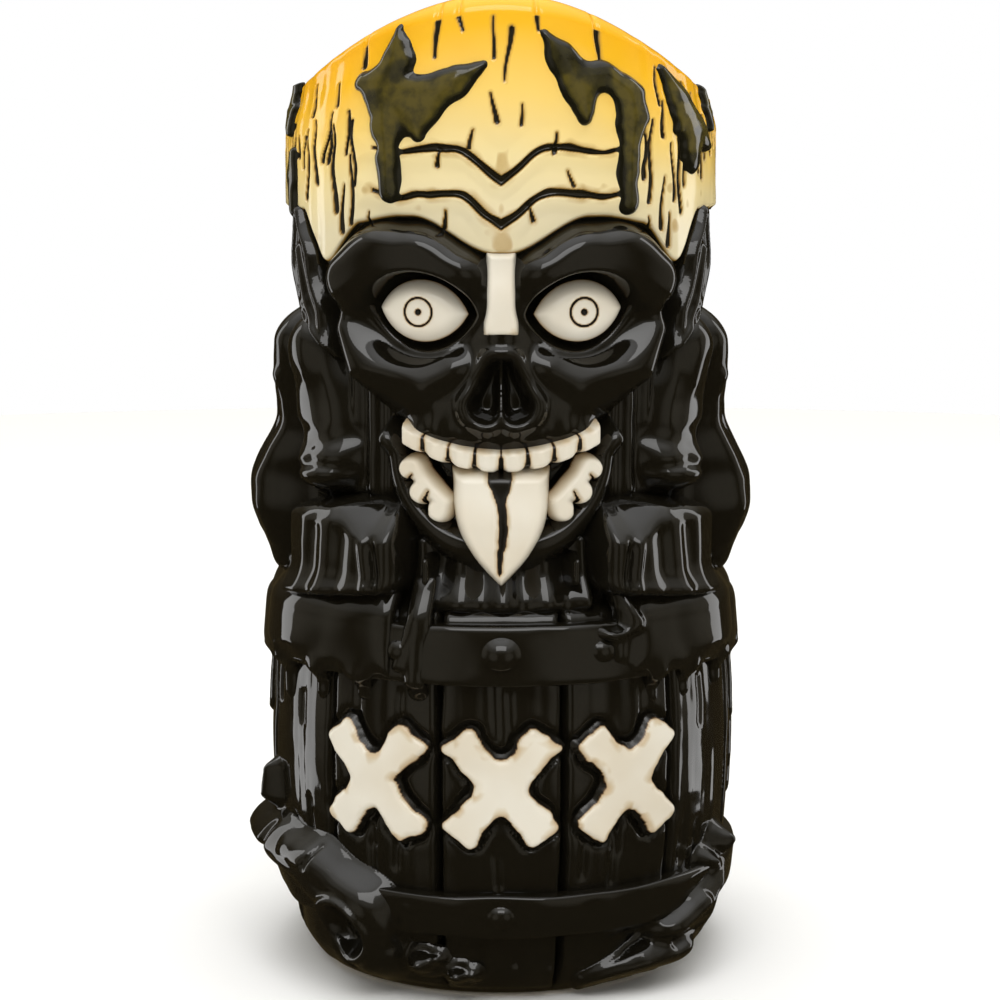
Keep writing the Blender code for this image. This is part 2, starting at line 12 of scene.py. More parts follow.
import bpy
import numpy as np
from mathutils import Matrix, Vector


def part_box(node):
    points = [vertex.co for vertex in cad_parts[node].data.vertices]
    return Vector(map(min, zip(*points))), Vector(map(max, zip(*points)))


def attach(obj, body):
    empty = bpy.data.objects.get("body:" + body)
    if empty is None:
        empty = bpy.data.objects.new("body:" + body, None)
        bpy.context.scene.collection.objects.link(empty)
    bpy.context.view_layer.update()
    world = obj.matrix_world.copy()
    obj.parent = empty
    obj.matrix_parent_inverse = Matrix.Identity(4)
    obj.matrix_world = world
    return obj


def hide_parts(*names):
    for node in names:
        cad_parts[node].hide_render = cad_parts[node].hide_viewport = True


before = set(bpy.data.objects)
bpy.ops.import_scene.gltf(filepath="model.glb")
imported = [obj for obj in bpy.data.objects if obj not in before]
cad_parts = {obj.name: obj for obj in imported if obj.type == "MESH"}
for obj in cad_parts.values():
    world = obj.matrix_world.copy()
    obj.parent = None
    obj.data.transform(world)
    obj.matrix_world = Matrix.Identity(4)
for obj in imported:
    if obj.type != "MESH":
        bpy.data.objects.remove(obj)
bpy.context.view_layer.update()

MM = 0.001
LIFT = 4.0  # heights here are measured from a level this far above the table
ARC = 40.0
SINK = 0.7  # relief reaches this far into what it stands on
FOOT = 0.8  # size of the soft fillet of glaze round a piece
FIRED = 0.5  # how strongly the softening pulls each point to its neighbours
TURN = 2 * math.pi


def extent(node):
    """A CAD node's box, in the millimetres used here."""
    low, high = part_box(node)
    return [[x / MM, y / MM, z / MM - LIFT] for x, y, z in (low, high)]


HEIGHT = extent("vessel_body")[1][2]
CROWN_RADIUS = extent("crown")[1][0]
BARREL_TOP = extent("stave_01")[1][2]
STAVE_BOTTOM = extent("stave_01")[0][2]
UPPER_HOOP = (extent("upper_hoop")[0][2], extent("upper_hoop")[1][2])
LOWER_HOOP = (extent("lower_hoop")[0][2], extent("lower_hoop")[1][2])
STAVES = sum(name.startswith("stave_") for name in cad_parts)
RIM_DIP = 17.3
RIM_START = 150.0
BARREL_MIDDLE = 38.0
BARREL_END_RADIUS = 38.0
BARREL_BULGE = 3.4
HEAD_RADIUS = 36.5
NECK_LOW, NECK_HIGH = 70.0, 76.0
WALL = 3.6
FLOOR = 2.5
STAVE_THICKNESS = 3.2
HOOP_THICKNESS = 2.5


# ---------------------------------------------------------------- surfaces


def smooth(x, low, high):
    t = np.clip((x - low) / (high - low), 0.0, 1.0)
    return t * t * (3 - 2 * t)


def noise(x, y, seed=0):
    """Smooth value noise from -1 to 1."""
    i, j = np.floor(x), np.floor(y)
    s, t = x - i, y - j
    s, t = s * s * (3 - 2 * s), t * t * (3 - 2 * t)

    def at(a, b):
        mixed = np.sin(a * 127.1 + b * 311.7 + seed * 74.7) * 43758.5453
        return 2 * (mixed - np.floor(mixed)) - 1

    low = at(i, j) * (1 - s) + at(i + 1, j) * s
    high = at(i, j + 1) * (1 - s) + at(i + 1, j + 1) * s
    return low * (1 - t) + high * t


def ripple(u, v, size, seed=0):
    """Noise that closes round the mug."""
    angle = u / ARC
    x, y = ARC * np.sin(angle) / size, ARC * np.cos(angle) / size
    return 0.6 * (noise(x, v / size, seed) + noise(y + 31, v / size + 0.5 * x, seed + 5))


def hand_made(u, v):
    """The slight unevenness of cast clay under a thick glaze."""
    return 0.16 * ripple(u, v, 9, 1) + 0.07 * ripple(u, v, 3.5, 2)


def core_radius(z):
    t = (z - BARREL_MIDDLE) / BARREL_MIDDLE
    barrel = BARREL_END_RADIUS + BARREL_BULGE * (1 - t * t)
    return barrel + (HEAD_RADIUS - barrel) * smooth(z, NECK_LOW, NECK_HIGH)


def pressed(u, v):
    """How far the left limb has pushed the barrel's foot in."""
    return 1.7 * smooth(-u, 40, 52) * (1 - smooth(-u, 76, 88)) * (1 - smooth(v, 9, 19))


def stave_radius(z):
    ends = 2.3 * (1 - smooth(z, STAVE_BOTTOM - 1, STAVE_BOTTOM + 5))
    ends = ends + 0.9 * smooth(z, BARREL_TOP - 2.5, BARREL_TOP)
    return core_radius(z) + STAVE_THICKNESS - ends


def hoop_radius(z):
    return stave_radius(z) + HOOP_THICKNESS


def crown_radius(z):
    return CROWN_RADIUS - 1.6 * smooth(z, RIM_START + 6, HEIGHT)


def crown_edge(u):
    """Lower edge of the crown: a V over the nose, arched brows, and down in front of the ears."""
    m = np.abs(u)
    front = 132.6 + 6.4 * smooth(m, 1, 16) - 1.6 * smooth(m, 18, 30) - 7.0 * smooth(m, 27, 36)
    return front + 9.0 * smooth(m, 36, 44) - 20 * smooth(m, 66, 90)


def lifted(v, angle):
    dip = RIM_DIP * np.sin(angle) ** 2
    return v - dip * np.maximum(v - RIM_START, 0) / (HEIGHT - RIM_START)


def wrapped(u, v, radius):
    angle = np.asarray(u) / ARC
    return np.stack([radius * np.sin(angle), -radius * np.cos(angle), lifted(v, angle)], axis=-1)


# ---------------------------------------------------------------- flat shapes: negative inside


def disc(u, v, centre, radius):
    return np.hypot(u - centre[0], v - centre[1]) - radius


def limb(u, v, start, end, start_radius=0, end_radius=0):
    du, dv = end[0] - start[0], end[1] - start[1]
    t = np.clip(((u - start[0]) * du + (v - start[1]) * dv) / (du * du + dv * dv), 0, 1)
    reach = np.hypot(u - start[0] - t * du, v - start[1] - t * dv)
    return reach - (start_radius + (end_radius - start_radius) * t)


def blend(a, b, soft):
    """The union of two shapes with a fillet where they meet."""
    if not soft:
        return np.minimum(a, b)
    h = np.clip(0.5 + 0.5 * (b - a) / soft, 0, 1)
    return b + (a - b) * h - soft * h * (1 - h)


def union(soft, shapes):
    return functools.reduce(lambda a, b: blend(a, b, soft), shapes)


def chain(u, v, points, soft=0.0):
    """Limbs from point to point, each point (u, v, radius)."""
    return union(soft, (limb(u, v, a[:2], b[:2], a[2], b[2]) for a, b in zip(points, points[1:])))


def box_shape(a, b, corner):
    """A rounded box, where a and b are the distances past its sides, with the corner's radius added."""
    return np.hypot(np.maximum(a, 0), np.maximum(b, 0)) + np.minimum(np.maximum(a, b), 0) - corner


def block(u, v, centre, half, corner):
    a, b = (np.abs(x - at) - size + corner for x, at, size in zip((u, v), centre, half))
    return box_shape(a, b, corner)


def turned(u, v, centre, degrees):
    """Coordinates from this centre, along axes turned by this much."""
    c, s = math.cos(math.radians(degrees)), math.sin(math.radians(degrees))
    return (u - centre[0]) * c + (v - centre[1]) * s, -(u - centre[0]) * s + (v - centre[1]) * c


def ellipse(u, v, centre, half, degrees=0.0):
    a, b = turned(u, v, centre, degrees)
    return (np.hypot(a / half[0], b / half[1]) - 1) * min(half)


def outline(u, v, half):
    """A polygon that mirrors these corners of its right half."""
    corners = half + [(-a, b) for a, b in reversed(half) if a > 0]
    nearest = np.full(np.shape(u), 1e9)
    inside = np.zeros(np.shape(u), bool)
    for (a, b), (c, d) in zip(corners, corners[1:] + corners[:1]):
        nearest = np.minimum(nearest, limb(u, v, (a, b), (c, d)))
        level = (b > v) != (d > v)
        inside ^= level & (u < (c - a) * (v - b) / (d - b if d != b else 1) + a)
    return np.where(inside, -nearest, nearest)


# ---------------------------------------------------------------- heights


def rounded(d, width, height, foot=FOOT):
    """Height of a piece with a rounded edge this wide, and a fillet of glaze outside its outline."""
    t = np.clip(-d / width, 0, 1)
    top = foot * 0.7 + (height - foot * 0.7) * (1 - (1 - t) ** 2.3)
    f = np.clip(d / foot, 0, 1)
    return np.where(d < 0, top, foot * 0.7 * (1 - f) ** 2 - 0.15 * f)


def bump(d, width):
    """1 on a line or a point, falling smoothly to 0 at this distance."""
    t = np.clip(np.maximum(d, 0) / width, 0, 1)
    return (1 - t * t) ** 2


def ridge(u, v, points, width, half=0.2, soft=1):
    """A bump along a line through these points."""
    return bump(chain(u, v, [(a, b, half) for a, b in points], soft), width)


def knob(u, v, centre, width):
    return bump(disc(u, v, centre, 0), width)


# ---------------------------------------------------------------- meshes


def mesh_object(name, points, triangles, material, attributes, soften=0):
    """A closed, smooth-shaded object from points in millimetres."""
    mesh = bpy.data.meshes.new(name)
    triangles = np.asarray(triangles, np.int32)
    points = (np.asarray(points) + (0, 0, LIFT)).astype(np.float32)
    mesh.vertices.add(len(points))
    mesh.vertices.foreach_set("co", (points * MM).ravel())
    mesh.loops.add(triangles.size)
    mesh.loops.foreach_set("vertex_index", triangles.ravel())
    mesh.polygons.add(len(triangles))
    mesh.polygons.foreach_set("loop_start", np.arange(0, triangles.size, triangles.shape[1], dtype=np.int32))
    mesh.polygons.foreach_set("use_smooth", np.ones(len(triangles), bool))
    mesh.update(calc_edges=True)
    mesh.validate()
    for key, values in attributes.items():
        mesh.attributes.new(key, "FLOAT", "POINT").data.foreach_set("value", np.asarray(values, np.float32))
    mesh.materials.append(material)
    made = bpy.data.objects.new(name, mesh)
    bpy.context.scene.collection.objects.link(made)
    if soften:
        relax = made.modifiers.new("glaze_softening", "SMOOTH")
        relax.factor, relax.iterations = FIRED, soften
    return made


def placed(made, *nodes):
    """Rides the piece on the mug and lets it stand for CAD nodes."""
    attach(made, "root")
    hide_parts(*nodes)


def lattice(shape, box, step):
    """Points (u, v) and triangles of the part of a box where shape(u, v) is negative."""
    us = np.arange(math.floor(box[0] / step), math.ceil(box[2] / step) + 1) * step
    vs = np.arange(math.floor(box[1] / step), math.ceil(box[3] / step) + 1) * step
    u, v = (grid.ravel() for grid in np.meshgrid(us, vs))
    d = shape(u, v)
    d = np.where(np.abs(d) < 1e-7, 1e-7, d)
    index = np.arange(len(u)).reshape(len(vs), len(us))
    a, b, c, e = (part.ravel() for part in (index[:-1, :-1], index[:-1, 1:], index[1:, 1:], index[1:, :-1]))
    odd = ((a // len(us) + a % len(us)) % 2 == 1)[:, None]
    first = np.where(odd, np.stack([a, b, c], 1), np.stack([a, b, e], 1))
    second = np.where(odd, np.stack([a, c, e], 1), np.stack([b, c, e], 1))
    triangles = np.concatenate([first, second])
    inside = d[triangles] < 0
    count = inside.sum(1)

    def rolled(rows, start):
        return np.take_along_axis(rows, (start[:, None] + np.arange(3)) % 3, 1)

    one = rolled(triangles[count == 1], inside[count == 1].argmax(1))
    two = rolled(triangles[count == 2], inside[count == 2].argmin(1))
    pairs = np.concatenate([one[:, [0, 1]], one[:, [0, 2]], two[:, [0, 1]], two[:, [0, 2]]])
    pairs, where = np.unique(np.sort(pairs, 1), axis=0, return_inverse=True)
    where = where.ravel() + len(u)
    i, j = pairs[:, 0], pairs[:, 1]
    t = np.clip(d[i] / (d[i] - d[j]), 0.04, 0.96)
    u, v = np.concatenate([u, u[i] + t * (u[j] - u[i])]), np.concatenate([v, v[i] + t * (v[j] - v[i])])
    n, m = len(one), len(two)
    one_a, one_b, two_a, two_b = np.split(where, [n, 2 * n, 2 * n + m])
    faces = np.concatenate([
        triangles[count == 3],
        np.stack([one[:, 0], one_a, one_b], 1),
        np.stack([two_a, two[:, 1], two[:, 2]], 1),
        np.stack([two_a, two[:, 2], two_b], 1),
    ])
    used, faces = np.unique(faces, return_inverse=True)
    return u[used], v[used], faces.reshape(-1, 3)


def relief(name, shape, height, base, box, material, step, soften, foot=FOOT, nodes=(), **attributes):
    """A closed piece of relief, placed. shape is its outline, height(u, v, distance) stands on the radius base(v)."""
    u, v, faces = lattice(lambda a, b: shape(a, b) - foot, box, step)
    d = shape(u, v)
    ground = base(v)
    tall = np.maximum(height(u, v, d), -SINK * 0.6)
    points = np.concatenate([wrapped(u, v, ground - SINK), wrapped(u, v, ground + tall)])
    n = len(u)
    edges = np.concatenate([faces[:, [0, 1]], faces[:, [1, 2]], faces[:, [2, 0]]])
    _, index, count = np.unique(np.sort(edges, 1), axis=0, return_inverse=True, return_counts=True)
    a, b = edges[count[index.ravel()] == 1].T
    walls = [np.stack([a, b, b + n], 1), np.stack([a, b + n, a + n], 1)]
    triangles = np.concatenate([faces[:, ::-1], faces + n] + walls)
    values = {key: np.tile(find(u, v, d), 2) for key, find in attributes.items()}
    placed(mesh_object("glazed_" + name, points, triangles, material, values, soften), *(nodes or [name]))


def pair(part, shape, height, inner, outer, bottom, top, step, soften, nodes):
    """A black piece of relief on each side of the head, between these distances from the middle."""
    for side, low, high in (("right", inner, outer), ("left", -outer, -inner)):
        relief(f"{part}_{side}", shape, height, core_radius, (low, bottom, high, top), GLAZE, step, soften,
               nodes=[f"{node}_{side}" for node in nodes])


def around(columns):
    """Places all the way round the mug, as one row."""
    return np.linspace(-math.pi, math.pi, columns, endpoint=False)[None, :] * ARC


def grid_object(name, points, material, attributes, wrap_rows=False):
    """A tube of points[row, column] closed round its columns, and round its rows or with a cap on each end."""
    rows, columns = points.shape[:2]
    index = np.arange(rows * columns).reshape(rows, columns)
    next_row = np.roll(index, -1, 0) if wrap_rows else index[1:]
    this_row = index if wrap_rows else index[:-1]
    right, next_right = np.roll(this_row, -1, 1), np.roll(next_row, -1, 1)
    quads = np.stack([this_row, right, next_right, next_row], -1).reshape(-1, 4)
    triangles = np.concatenate([quads[:, [0, 1, 2]], quads[:, [0, 2, 3]]])
    flat = points.reshape(-1, 3)
    if not wrap_rows:
        for ring, flip in ((index[0], True), (index[-1], False)):
            centre = flat[ring].mean(0)
            flat = np.concatenate([flat, centre[None]])
            hub = np.full(columns, len(flat) - 1)
            fan = np.stack([ring, np.roll(ring, -1), hub], 1)
            triangles = np.concatenate([triangles, fan[:, ::-1] if flip else fan])
            attributes = {k: np.append(a, a[ring].mean()) for k, a in attributes.items()}
    return mesh_object(name, flat, triangles, material, attributes)


# ---------------------------------------------------------------- glazes


class Wiring:
    """A small helper to wire a node tree."""

    def __init__(self, tree):
        self.tree = tree

    def node(self, kind, **settings):
        made = self.tree.nodes.new("ShaderNode" + kind)
        for key, value in settings.items():
            setattr(made, key, value)
        return made

    def wire(self, source, target):
        """Links a socket, or sets a plain value."""
        if isinstance(source, (int, float)):
            target.default_value = source
        elif isinstance(source, tuple):
            target.default_value = (*source, 1)
        else:
            self.tree.links.new(source, target)

    def ramp(self, factor, *stops, interpolation="LINEAR"):
        made = self.node("ValToRGB")
        made.color_ramp.interpolation = interpolation
        elements = made.color_ramp.elements
        while len(elements) < len(stops):
            elements.new(0.5)
        for element, (position, colour) in zip(elements, stops):
            element.position, element.color = position, (*colour, 1)
        self.wire(factor, made.inputs["Fac"])
        return made.outputs["Color"]

    def mix(self, factor, a, b, blend_type="MIX"):
        made = self.node("Mix", data_type="RGBA", blend_type=blend_type)
        for number, value in ((0, factor), (6, a), (7, b)):
            self.wire(value, made.inputs[number])
        return made.outputs[2]


class Glaze(Wiring):
    """A Principled material."""

    def __init__(self, name, roughness, level=0.5):
        self.material = bpy.data.materials.new(name)
        self.material.use_nodes = True
        super().__init__(self.material.node_tree)
        self.shader = self.tree.nodes["Principled BSDF"]
        self.shader.inputs["Roughness"].default_value = roughness
        self.shader.inputs["Specular IOR Level"].default_value = level
        self.place = self.node("TexCoord").outputs["Object"]

    def noise(self, scale, detail=3):
        made = self.node("TexNoise")
        made.inputs["Scale"].default_value = scale
        made.inputs["Detail"].default_value = detail
        self.wire(self.place, made.inputs["Vector"])
        return made.outputs["Fac"]

    def attribute(self, name):
        return self.node("Attribute", attribute_name=name).outputs["Fac"]

    def math(self, operation, a, b):
        made = self.node("Math", operation=operation)
        self.wire(a, made.inputs[0])
        self.wire(b, made.inputs[1])
        return made.outputs[0]

    def scaled(self, source, factor, offset):
        return self.math("ADD", self.math("MULTIPLY", source, factor), offset)

    def uneven(self, source, noise, amount):
        """The source with this much noise added round it."""
        return self.math("ADD", source, self.math("MULTIPLY", self.math("SUBTRACT", noise, 0.5), amount))

    def mask(self, factor, low, high):
        return self.ramp(factor, (low, (0, 0, 0)), (high, (1, 1, 1)))

    def finished(self, colour, rough, grain, detail, depth, strength):
        """Wires the colour, the roughness and a fine grain, and returns the material."""
        self.wire(colour, self.shader.inputs["Base Color"])
        self.wire(rough, self.shader.inputs["Roughness"])
        made = self.node("Bump")
        made.inputs["Distance"].default_value = depth
        made.inputs["Strength"].default_value = strength
        self.wire(self.noise(grain, detail), made.inputs["Height"])
        self.wire(made.outputs["Normal"], self.shader.inputs["Normal"])
        return self.material


BLACK = (0.0065, 0.0055, 0.0035)
BROWN_BREAK = (0.026, 0.018, 0.010)
CREAM = (0.76, 0.715, 0.615)
BUFF = (0.64, 0.55, 0.40)
TAN = (0.56, 0.42, 0.26)
UMBER = (0.10, 0.055, 0.022)
CROWN_LOW = 0.128  # where the crown's colours start, in metres


def black_glaze():
    """Glossy black that breaks to brown where it runs thin on an edge."""
    g = Glaze("black_glaze", 0.07)
    pointed = g.node("NewGeometry").outputs["Pointiness"]
    broken = g.math("ADD", pointed, g.math("MULTIPLY", g.noise(140), 0.03))
    colour = g.ramp(broken, (0.60, BLACK), (0.74, BROWN_BREAK))
    return g.finished(colour, g.scaled(g.noise(60), 0.07, 0.02), 160, 2, 0.00012, 0.35)


def cream_glaze():
    """Cream over a stain that stays brown in the creases, with black line work where the stain is deepest."""
    g = Glaze("cream_glaze", 0.22)
    mottle = g.noise(90, 5)
    stain = g.uneven(g.attribute("stain"), mottle, 0.34)
    base = g.ramp(stain, (0.12, CREAM), (0.34, BUFF), (0.56, TAN), (0.74, UMBER), (0.9, BLACK))
    cloud = g.ramp(g.noise(45), (0.35, (0.90, 0.86, 0.80)), (0.62, (1, 1, 1)))
    colour = g.mix(1.0, base, cloud, "MULTIPLY")
    return g.finished(colour, g.scaled(mottle, 0.16, 0.15), 200, 3, 0.00010, 0.3)


def crown_glaze():
    """Amber at the rim, yellow below it and cream at the brow, with dark line work. The amber is also paler where the
    crown faces front and back and deeper towards the sides: a painted highlight and shade for the light over the front
    of the dome.
    """
    g = Glaze("amber_glaze", 0.14)
    split = g.node("SeparateXYZ")
    g.wire(g.place, split.inputs[0])
    # painted highlight and shade: side grows from 0 at the front and back to 1 at the sides, and scales the amber so
    # the front of the dome is painted paler, as if lit, and the sides deeper
    side = g.math("POWER", g.math("ABSOLUTE", g.math("DIVIDE", split.outputs["X"], CROWN_RADIUS * MM), 0), 2)
    level = g.math("DIVIDE", g.math("SUBTRACT", split.outputs["Z"], CROWN_LOW), HEIGHT * MM - CROWN_LOW)
    level = g.math("MULTIPLY", level, g.scaled(side, 0.50, 0.86))
    level = g.uneven(level, g.noise(22, 4), 0.22)
    tone = g.ramp(level, (0.28, (0.77, 0.68, 0.45)), (0.48, (0.86, 0.71, 0.36)), (0.66, (0.95, 0.66, 0.17)),
                  (0.84, (0.96, 0.52, 0.022)), (1.0, (0.93, 0.43, 0.004)))
    stain = g.uneven(g.attribute("stain"), g.noise(120, 4), 0.25)
    tinted = g.mix(g.mask(stain, 0.12, 0.45), tone, (0.42, 0.24, 0.05))
    colour = g.mix(g.mask(stain, 0.42, 0.72), tinted, (0.012, 0.010, 0.005))
    return g.finished(colour, g.scaled(g.noise(70), 0.10, 0.07), 180, 3, 0.00010, 0.3)


def olive_glaze():
    """Dark glaze over the yellow: olive where it is thin, nearly black where it has pooled."""
    g = Glaze("olive_glaze", 0.08)
    thick = g.uneven(g.attribute("thick"), g.noise(520, 6), 0.75)
    colour = g.ramp(thick, (0.05, (0.085, 0.066, 0.012)), (0.30, (0.034, 0.029, 0.009)),
                    (0.66, (0.008, 0.0075, 0.004)))
    return g.finished(colour, g.scaled(g.noise(90), 0.10, 0.04), 300, 3, 0.00010, 0.4)


def bisque():
    """Bare fired clay on the foot ring."""
    g = Glaze("bisque", 0.75, 0.3)
    colour = g.ramp(g.noise(300, 6), (0.35, (0.62, 0.55, 0.44)), (0.65, (0.74, 0.68, 0.58)))
    return g.finished(colour, 0.75, 900, 5, 0.00012, 0.6)


GLAZE = black_glaze()
CREAM_GLAZE = cream_glaze()
AMBER_GLAZE = crown_glaze()
OLIVE_GLAZE = olive_glaze()
BISQUE = bisque()


# ---------------------------------------------------------------- vessel and barrel


def vessel():
    """The hollow core: foot, outer wall, lip under the crown's roll, inner wall and floor."""
    outside = np.concatenate([np.linspace(-1, 76, 60), np.linspace(78, HEIGHT - 5, 90)])
    foot = [(0.01, 1.6), (28.4, 1.6), (29.0, 1.3), (29.6, 0.25), (30.2, 0), (35.0, 0), (36.3, 0.4), (37.2, 1.5)]
    profile = [(r, z - LIFT) for r, z in foot]
    profile += [(float(core_radius(z)), float(z)) for z in outside]
    profile += [(HEAD_RADIUS - 1, HEIGHT - 4), (HEAD_RADIUS - WALL + 1, HEIGHT - 4)]
    bottom, bend = 9.5, 7  # the inner wall ends here, and curves into the floor
    inside = np.linspace(HEIGHT - 5, bottom, 90)
    profile += [(float(core_radius(z)) - WALL, float(z)) for z in inside]
    corner = float(core_radius(bottom)) - WALL
    turns = np.linspace(0, math.pi / 2, 8)[1:]
    profile += [(corner - bend * (1 - math.cos(a)), bottom - bend * math.sin(a)) for a in turns] + [(0.01, FLOOR)]
    r, z = (np.array(part)[:, None] for part in zip(*profile))
    u = around(300)
    pleats = 0.5 * np.cos(TURN * (u + 1.4 * noise(z / 16, 0 * z, 15)) / 9.0) + 0.5 * noise(u / 5, z / 24, 16)
    pleats = pleats * smooth(np.abs(u), 58, 74) * smooth(z, 77, 84) * (1 - smooth(z, 112, 132))
    wave = np.where((z > 0) & (z < HEIGHT - 8), hand_made(u, z + 0 * u) + pleats, 0) - pressed(u, z) * (r > 36)
    points = wrapped(u + 0 * z, z + 0 * u, r + wave)
    made = grid_object("glazed_vessel", points, GLAZE, {})
    made.data.materials.append(BISQUE)
    heights = np.zeros(len(made.data.vertices) * 3, np.float32)
    made.data.vertices.foreach_get("co", heights)
    heights = heights.reshape(-1, 3)[:, 2]
    corners = np.zeros(len(made.data.polygons) * 3, np.int32)
    made.data.loops.foreach_get("vertex_index", corners)
    low = heights[corners.reshape(-1, 3)].max(1) < 0.0007
    made.data.polygons.foreach_set("material_index", low.astype(np.int32))
    placed(made, "vessel_body")


def staves():
    """Twelve staves with soft edges, worn ends and a few gouges along the grain."""
    half = math.pi / STAVES * ARC - 0.12
    rng = random.Random(11)
    for number in range(STAVES):
        centre = (TURN * number / STAVES) * ARC
        centre = centre - TURN * ARC if number > STAVES / 2 else centre
        gouges = [((13.0, 2.6), (12.0, -1.6), 0.25), ((14.4, 2.6), (13.6, -1.6), 0.25)] if number == 0 else []
        for _ in range(7):
            at = centre + rng.uniform(-0.85, 0.85) * half
            low = rng.choice([-1.5, 18, 20, 44]) + rng.uniform(0, 6)
            long = rng.uniform(4, 12)
            gouges.append(((at, low), (at + rng.uniform(-0.5, 0.5), low + long), rng.uniform(0.3, 0.7)))

        def shape(u, v, centre=centre):
            edge = 0.18 * noise(v / 6, 0 * v + centre, 3)
            return block(u, v, (centre + edge, (STAVE_BOTTOM + BARREL_TOP) / 2),
                         (half, (BARREL_TOP - STAVE_BOTTOM) / 2), 0.8)

        def height(u, v, d, centre=centre, gouges=gouges):
            ends = stave_radius(v) - core_radius(v)
            grain = 0.10 * noise((u - centre) / 1.3, v / 26 + centre, 4) + 0.05 * noise(u / 0.6, v / 15, 6)
            cup = -0.25 * bump(np.abs(u - centre), half)
            body = rounded(d, 0.9, 1.0, 0.35) * ends
            cuts = sum(-0.65 * bump(limb(u, v, a, b), 0.35 + w) for a, b, w in gouges)
            for _, at, middle in cross_places():
                if abs(at - centre) < 26:
                    cuts = cuts - 1.0 * bump(np.abs(cross_shape(u, v, at, middle) - 0.35), 1.1)
            return np.where(d < -0.2, body + grain + cup + cuts + hand_made(u, v), body) - pressed(u, v)

        name = f"stave_{number + 1:02d}"
        box = (centre - half - 1, STAVE_BOTTOM - 1, centre + half + 1, BARREL_TOP + 1)
        relief(name, shape, height, core_radius, box, GLAZE, 0.55, 2, 0.3)


def hoop(node, span, seed):
    """A hammered band."""
    low, high = span
    u = around(420)
    middle, half = (low + high) / 2, (high - low) / 2
    turn = np.linspace(-math.pi / 2, math.pi / 2, 26)
    power = 0.28  # how square the band's section is: 1 is round
    rise = np.sign(np.sin(turn)) * np.abs(np.sin(turn)) ** power
    out = np.abs(np.cos(turn)) ** power
    z = (middle + half * rise)[:, None]
    dents = 0.30 * ripple(u, z + 0 * u, 7, seed) + 0.12 * ripple(u, z + 0 * u, 3, seed + 3)
    if node == "lower_hoop":
        for at in ((18.1, 12.6), (-15.8, 12.0)):
            dents = dents + 0.9 * knob(u, z, at, 1.5)
    radius = stave_radius(z) - 0.5 + (HOOP_THICKNESS + 0.5) * out[:, None] + dents * out[:, None] - pressed(u, z)
    edge = 0.25 * ripple(u, 0 * u, 8, seed + 9) * rise[:, None]
    outer = wrapped(u + 0 * z, z + edge, radius)
    back = wrapped(u + 0 * z[::-1], z[::-1] + 0 * u, stave_radius(z[::-1]) - 0.9 + 0 * u)
    placed(grid_object("glazed_" + node, np.concatenate([outer, back]), GLAZE, {}, wrap_rows=True), node)


def rivet(node):
    """A round-headed rivet with a small puddle of glaze at its base."""
    low, high = (np.array(part) for part in extent(node))
    middle = (low + high) / 2
    radius = (high[2] - low[2]) / 2
    at, reach = (math.atan2(middle[0], -middle[1]) * ARC, middle[2]), radius + 2

    def height(u, v, d):
        return rounded(d, radius, radius * 0.62, 0.6)

    def ground(v):
        return hoop_radius(v) - 0.1

    def shape(u, v):
        return disc(u, v, at, radius)

    box = (at[0] - reach, at[1] - reach, at[0] + reach, at[1] + reach)
    relief(node, shape, height, ground, box, GLAZE, 0.22, 2, 0.6)


def cross_places():
    """Centre of each cross."""
    for node in ("cross_left", "cross_centre", "cross_right"):
        low, high = extent(node)
        yield node, math.atan2((low[0] + high[0]) / 2, -(low[1] + high[1]) / 2) * ARC, (low[2] + high[2]) / 2


def cross_shape(u, v, centre, middle):
    """Two crossed bars with worn corners, a little wider at the ends."""
    half_width, half_length, corner, lean = 3.1, 12.2, 1.5, 38.5

    def bar(degrees):
        across, along = (np.abs(x) for x in turned(u, v, (centre, middle), degrees))
        across = across - 0.5 * smooth(along, 5, 12)
        return box_shape(across - half_width + corner, along - half_length + corner, corner)

    return union(2.2, (bar(lean), bar(-lean))) + 0.42 * noise(u / 2.6, v / 2.6, 21) + 0.14 * noise(u, v, 22)


def cross(node, centre, middle):
    """A diagonal cross of cream glaze, worn at its corners."""
    def shape(u, v):
        return cross_shape(u, v, centre, middle)

    def stain(u, v, d):
        patch = smooth(noise(u / 3.0, v / 3.0, 24) + 0.25 * noise(u / 0.8, v / 0.8, 25), 0.0, 0.55)
        return np.clip(smooth(d, -0.5, -0.02) + (0.14 + 0.40 * patch) * smooth(d, -2.6, -0.2), 0, 1)

    def height(u, v, d):
        return rounded(d, 1.2, 1.6, 0.4) + 0.16 * noise(u / 4, v / 4, 23)

    box = (centre - 12, middle - 14, centre + 12, middle + 14)
    relief(node, shape, height, stave_radius, box, CREAM_GLAZE, 0.3, 2, 0.4, stain=stain)


# ---------------------------------------------------------------- head


def furrow_lines(u, v):
    """Distance to the two furrows that run across the brow and dip over the nose."""
    m = np.abs(u)
    found = np.full(np.shape(u + 0 * v), 9.0)
    for level, seed in ((151.6, 33), (143.7, 34)):
        dip = 6.6 * (1 - smooth(m, -2.6, 8.8))
        middle = level - dip - 1.0 * smooth(m, 9, 19) + 1.1 * smooth(m, 18, 25) + 0.25 * noise(u / 3, 0 * u, seed)
        slope = np.sqrt(1 + (0.85 * (m < 8.8) * (1 - smooth(m, 4, 8.8))) ** 2)
        half = 0.60 * (1 - 0.55 * smooth(m, 12, 22)) + 0.10 * noise(u / 2, 0 * u, seed + 4)
        found = np.minimum(found, np.maximum(np.abs(v - middle) / slope - half, 0.6 * (m - 23.5)))
    return found


